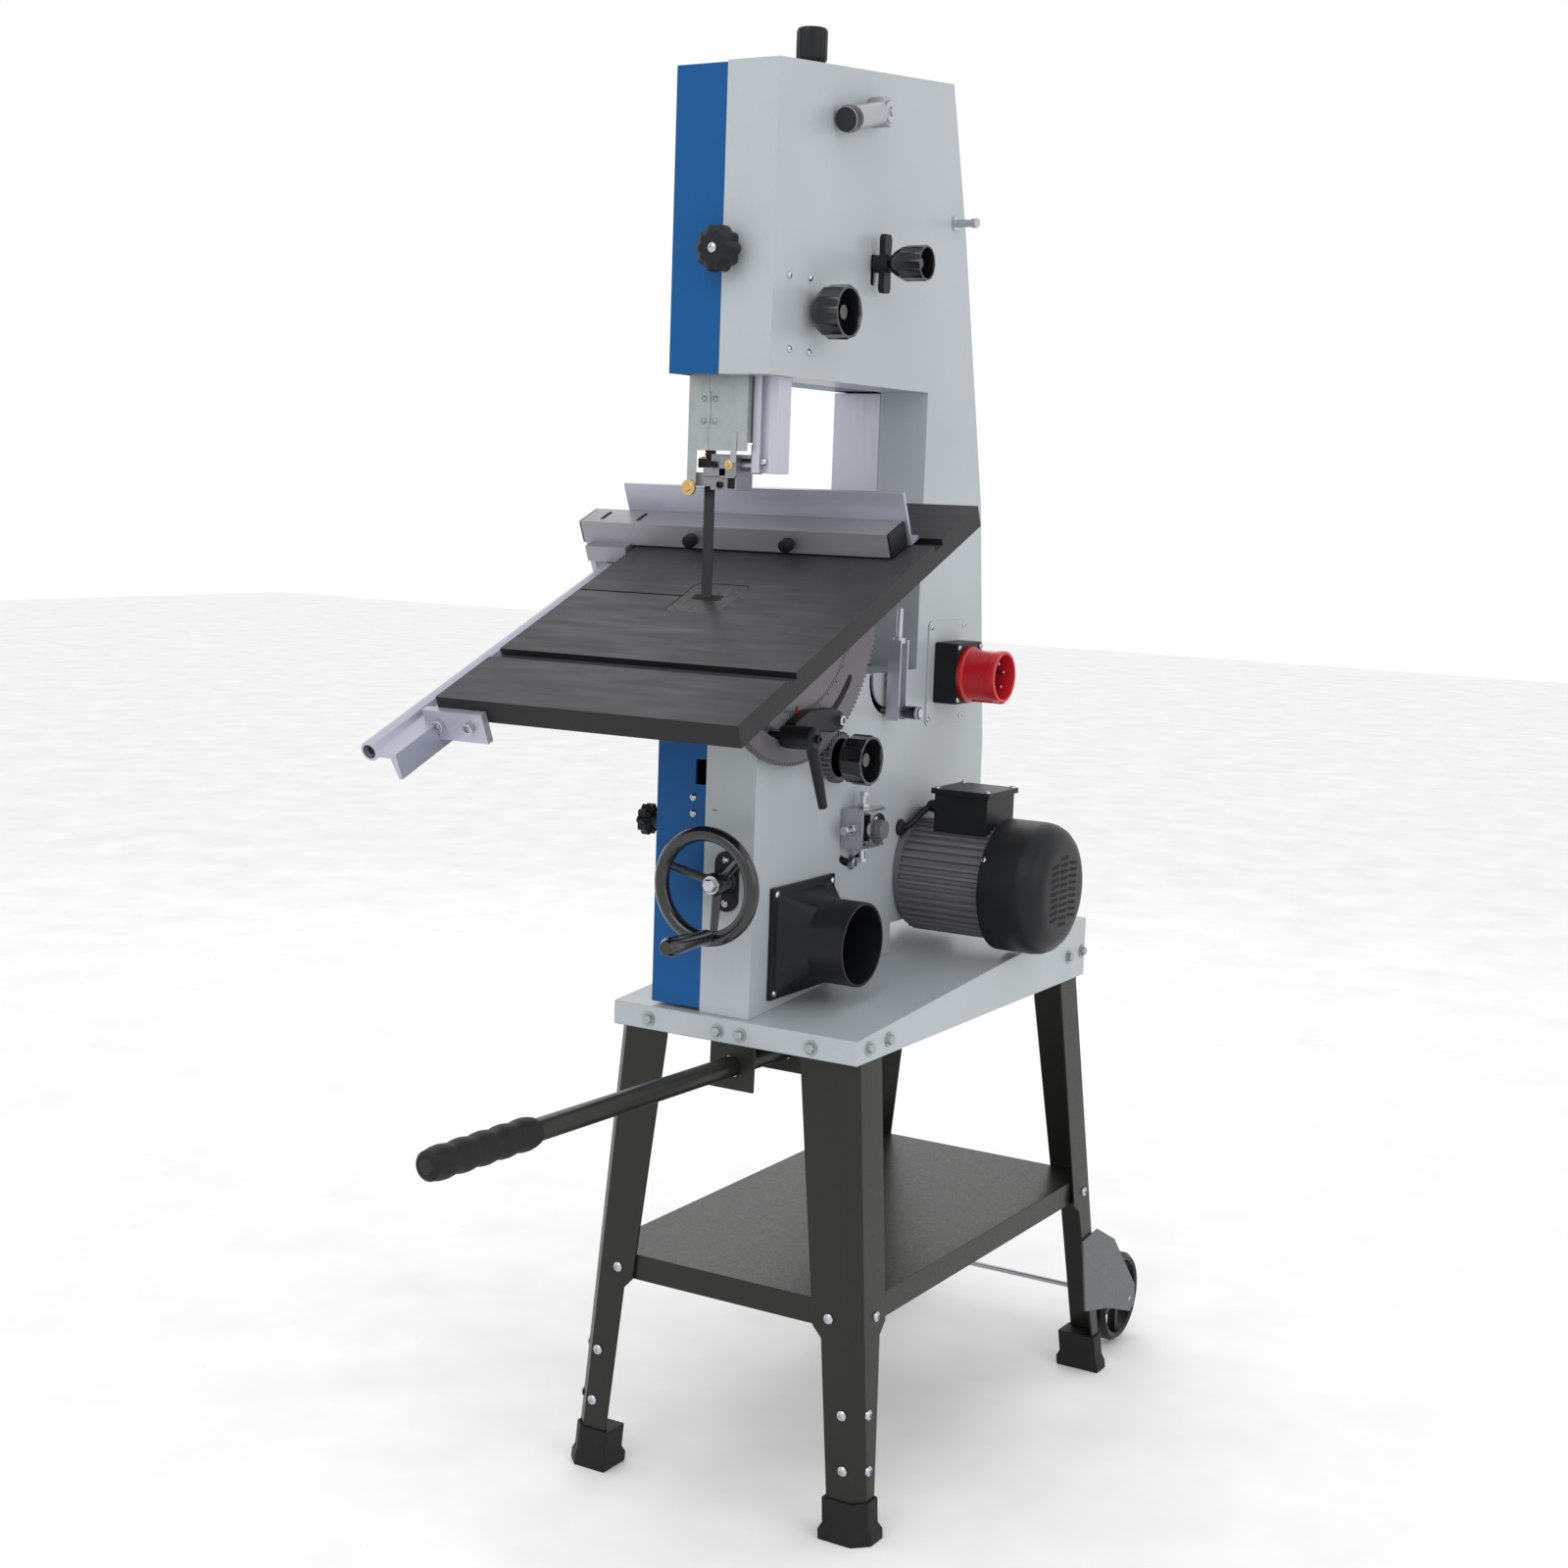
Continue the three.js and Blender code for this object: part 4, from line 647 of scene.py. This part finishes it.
# ------------------------------------------------------------------ table and tilt
def table_details():
    insert = Shapes()
    outline = rounded(40.4, 38.4, 8.5)
    insert.plate(on_table(3, -110, -3.2), TABLE_UP, [(v, u) for u, v in outline], 2.9)
    insert.make("table_insert", "tilting_table", INSERT, 0.4)
    gap = Shapes()
    gap.plate(on_table(0, -112, -0.25), TABLE_UP, rounded(20, 7, 3), 0.3)
    gap.make("insert_opening", "tilting_table", VOID)
    ticks = Shapes()
    for k in range(51):
        t = math.radians(-140 + k * 2) - TILT
        long = 9 if k % 5 == 0 else 5
        start, end = (
            (PIVOT.x + reach * math.cos(t), 18.1, PIVOT.z + reach * math.sin(t))
            for reach in (126, 126 + long)
        )
        ticks.bar(start, end, 0.45, 0.25, Y)
    ticks.make("tilt_scale", "tilting_table", BLACK)
    boss = Shapes()
    boss.rings([
        [(-30, y, 950), (-62, y, 962), (-118, y, 962), (-142, y, 956), (-146, y, 936),
         (-122, y, 932), (-60, y, 938), (-36, y, 926)]
        for y in (19, 33)
    ])
    boss.make("clamp_yoke", "frame", BLACK, 2)
    screws("clamp_yoke_screw", "frame", [(-133, 33, 946)], Y, 6.5, "socket")
    screws("clamp_lever_screw", "tilt_clamp", [(-27, 64, 934)], Y, 5, "socket", BLACK)
    screws("sector_bolts", "tilting_table", [on_table(a, 18.1, -46) for a in (-70, 30)], Y, 6,
           "hex")
    grip = Shapes()
    grip.turned((-312, 0, 944), Y, [(7.2, 25.2), (8, 27), (8.4, 44), (7.6, 50), (5.5, 50.9),
                                    (5, 49), (0, 49)], 24)
    grip.make("stop_grip", "level_stop", GLOSS)
    pointer = Shapes()
    pointer.plate((-57, 19, 958), Y, [(-3, 0), (3, 0), (0, 10)], 1)
    pointer.make("tilt_pointer", "frame", RED)


# ------------------------------------------------------------------ fence
def fence_details():
    caps = Shapes()
    outline = [(v, u) for u, v in rounded(15.3, 21.3, 3)]
    for start, thick in ((-381.8, 2.4), (71, 3)):
        caps.plate(on_table(-151, start, 18), Y, outline, thick, TILT)
    caps.make("fence_end_caps", "fence", BLACK, 0.8)
    slots = Shapes()
    for y in (-352, -296):
        slots.plate(on_table(-151, y, 32.9), TABLE_UP, rounded(3, 12, 2.8), 0.3)
    slots.make("fence_slots", "fence", VOID)
    screws("rail_bracket_screws", "tilting_table", [on_table(308.2, y, -30) for y in (-296, -252)],
           TABLE_ALONG, 7, "socket")
    bore = Shapes()
    bore.turned(on_table(384, -341, -30), TABLE_ALONG,
                [(8.5, -6), (8.5, 0.2), (6.2, 0.4), (6.2, -5), (0, -5)], 24)
    bore.make("rail_end_plug", "tilting_table", BLACK)
    carriage = Shapes()
    carriage.plate(on_table(-144, -378, -19), Y, rounded(14, 26, 3), 8, TILT)
    carriage.make("fence_carriage_face", "fence", ZINC, 0.6)


# ------------------------------------------------------------------ blade guides
def guide_details():
    rollers = Shapes()
    for x, y, z, r in ((-33.5, -129, 1217.5, 9.5), (-50, -119, 1249, 6), (-40, -77, 1246, 6)):
        rollers.turned((x, y, z), X, [(r * 0.4, -12), (r * 0.4, -3), (r, -2.6), (r, 0.2),
                                      (r * 0.86, 0.6),
                                      (r * 0.8, 0.6), (r * 0.5, 1.6), (r * 0.45, 2.6), (0, 2.6)],
                       28)
    rollers.make("guide_rollers", "guide_carrier", BRASS)
    boss = Shapes()
    boss.plate((-44, -79, 1243), X, rounded(12, 13, 5), 3.4)
    boss.plate((-43.6, -97, 1237), X, rounded(16, 5, 2), 3)
    boss.make("guide_bosses", "guide_carrier", GUIDE, 0.8)
    hollows = Shapes()
    hollows.plate((-43.9, -75, 1224), X, rounded(5, 6, 1), 0.3)
    hollows.plate((-43.9, -113, 1247), X, rounded(9, 5.5, 1), 0.3)
    hollows.make("guide_hollows", "guide_carrier", VOID)
    screws("guide_block_screws", "guide_carrier", [(-40.5, -97, 1246), (-44, -90, 1222)], X, 4,
           "socket", BLACK)
    strip = Shapes()
    strip.plate((-36.4, -68, 1266), X, rounded(4, 18, 1), 1.2)
    strip.make("guard_strip", "guide_carrier", ZINC, 0.2)
    rod = Shapes()
    rod.turned((-54, -72, 1246), Y, [(5, 0), (5, 24)], 20)
    rod.make("guide_rod", "guide_carrier", STEEL)
    for body, y in (("guard_front", -112), ("guide_carrier", -96)):
        screws(f"guard_rivets_{body}", body, [(-36.4, y, z) for z in (1296, 1322)], X, 3.6,
               material=ZINC)
    hinge = Shapes()
    hinge.turned((-36.5, -104.2, 1288), Z, [(2, 0), (2.3, 1), (2.3, 41), (2, 42)], 14)
    hinge.make("guard_hinge", "guide_carrier", ZINC)
    screws("post_screw", "guide_carrier", [(-45.9, -32, 1250)], X, 4.6)
    blade = Shapes()
    for k in range(176):
        z = 816 + k * 4
        blade.rings([
            [(x, -119.9, z), (x, -119.9, z + 3.8), (x, -121.6, z + 0.8)] for x in (-57.6, -56.7)
        ])
    blade.make("blade_teeth", "frame", SPRING)


stand_details()
fluted_knobs()
casing_details()
electrics()
adjusters()
table_details()
fence_details()
guide_details()

bpy.context.view_layer.update()
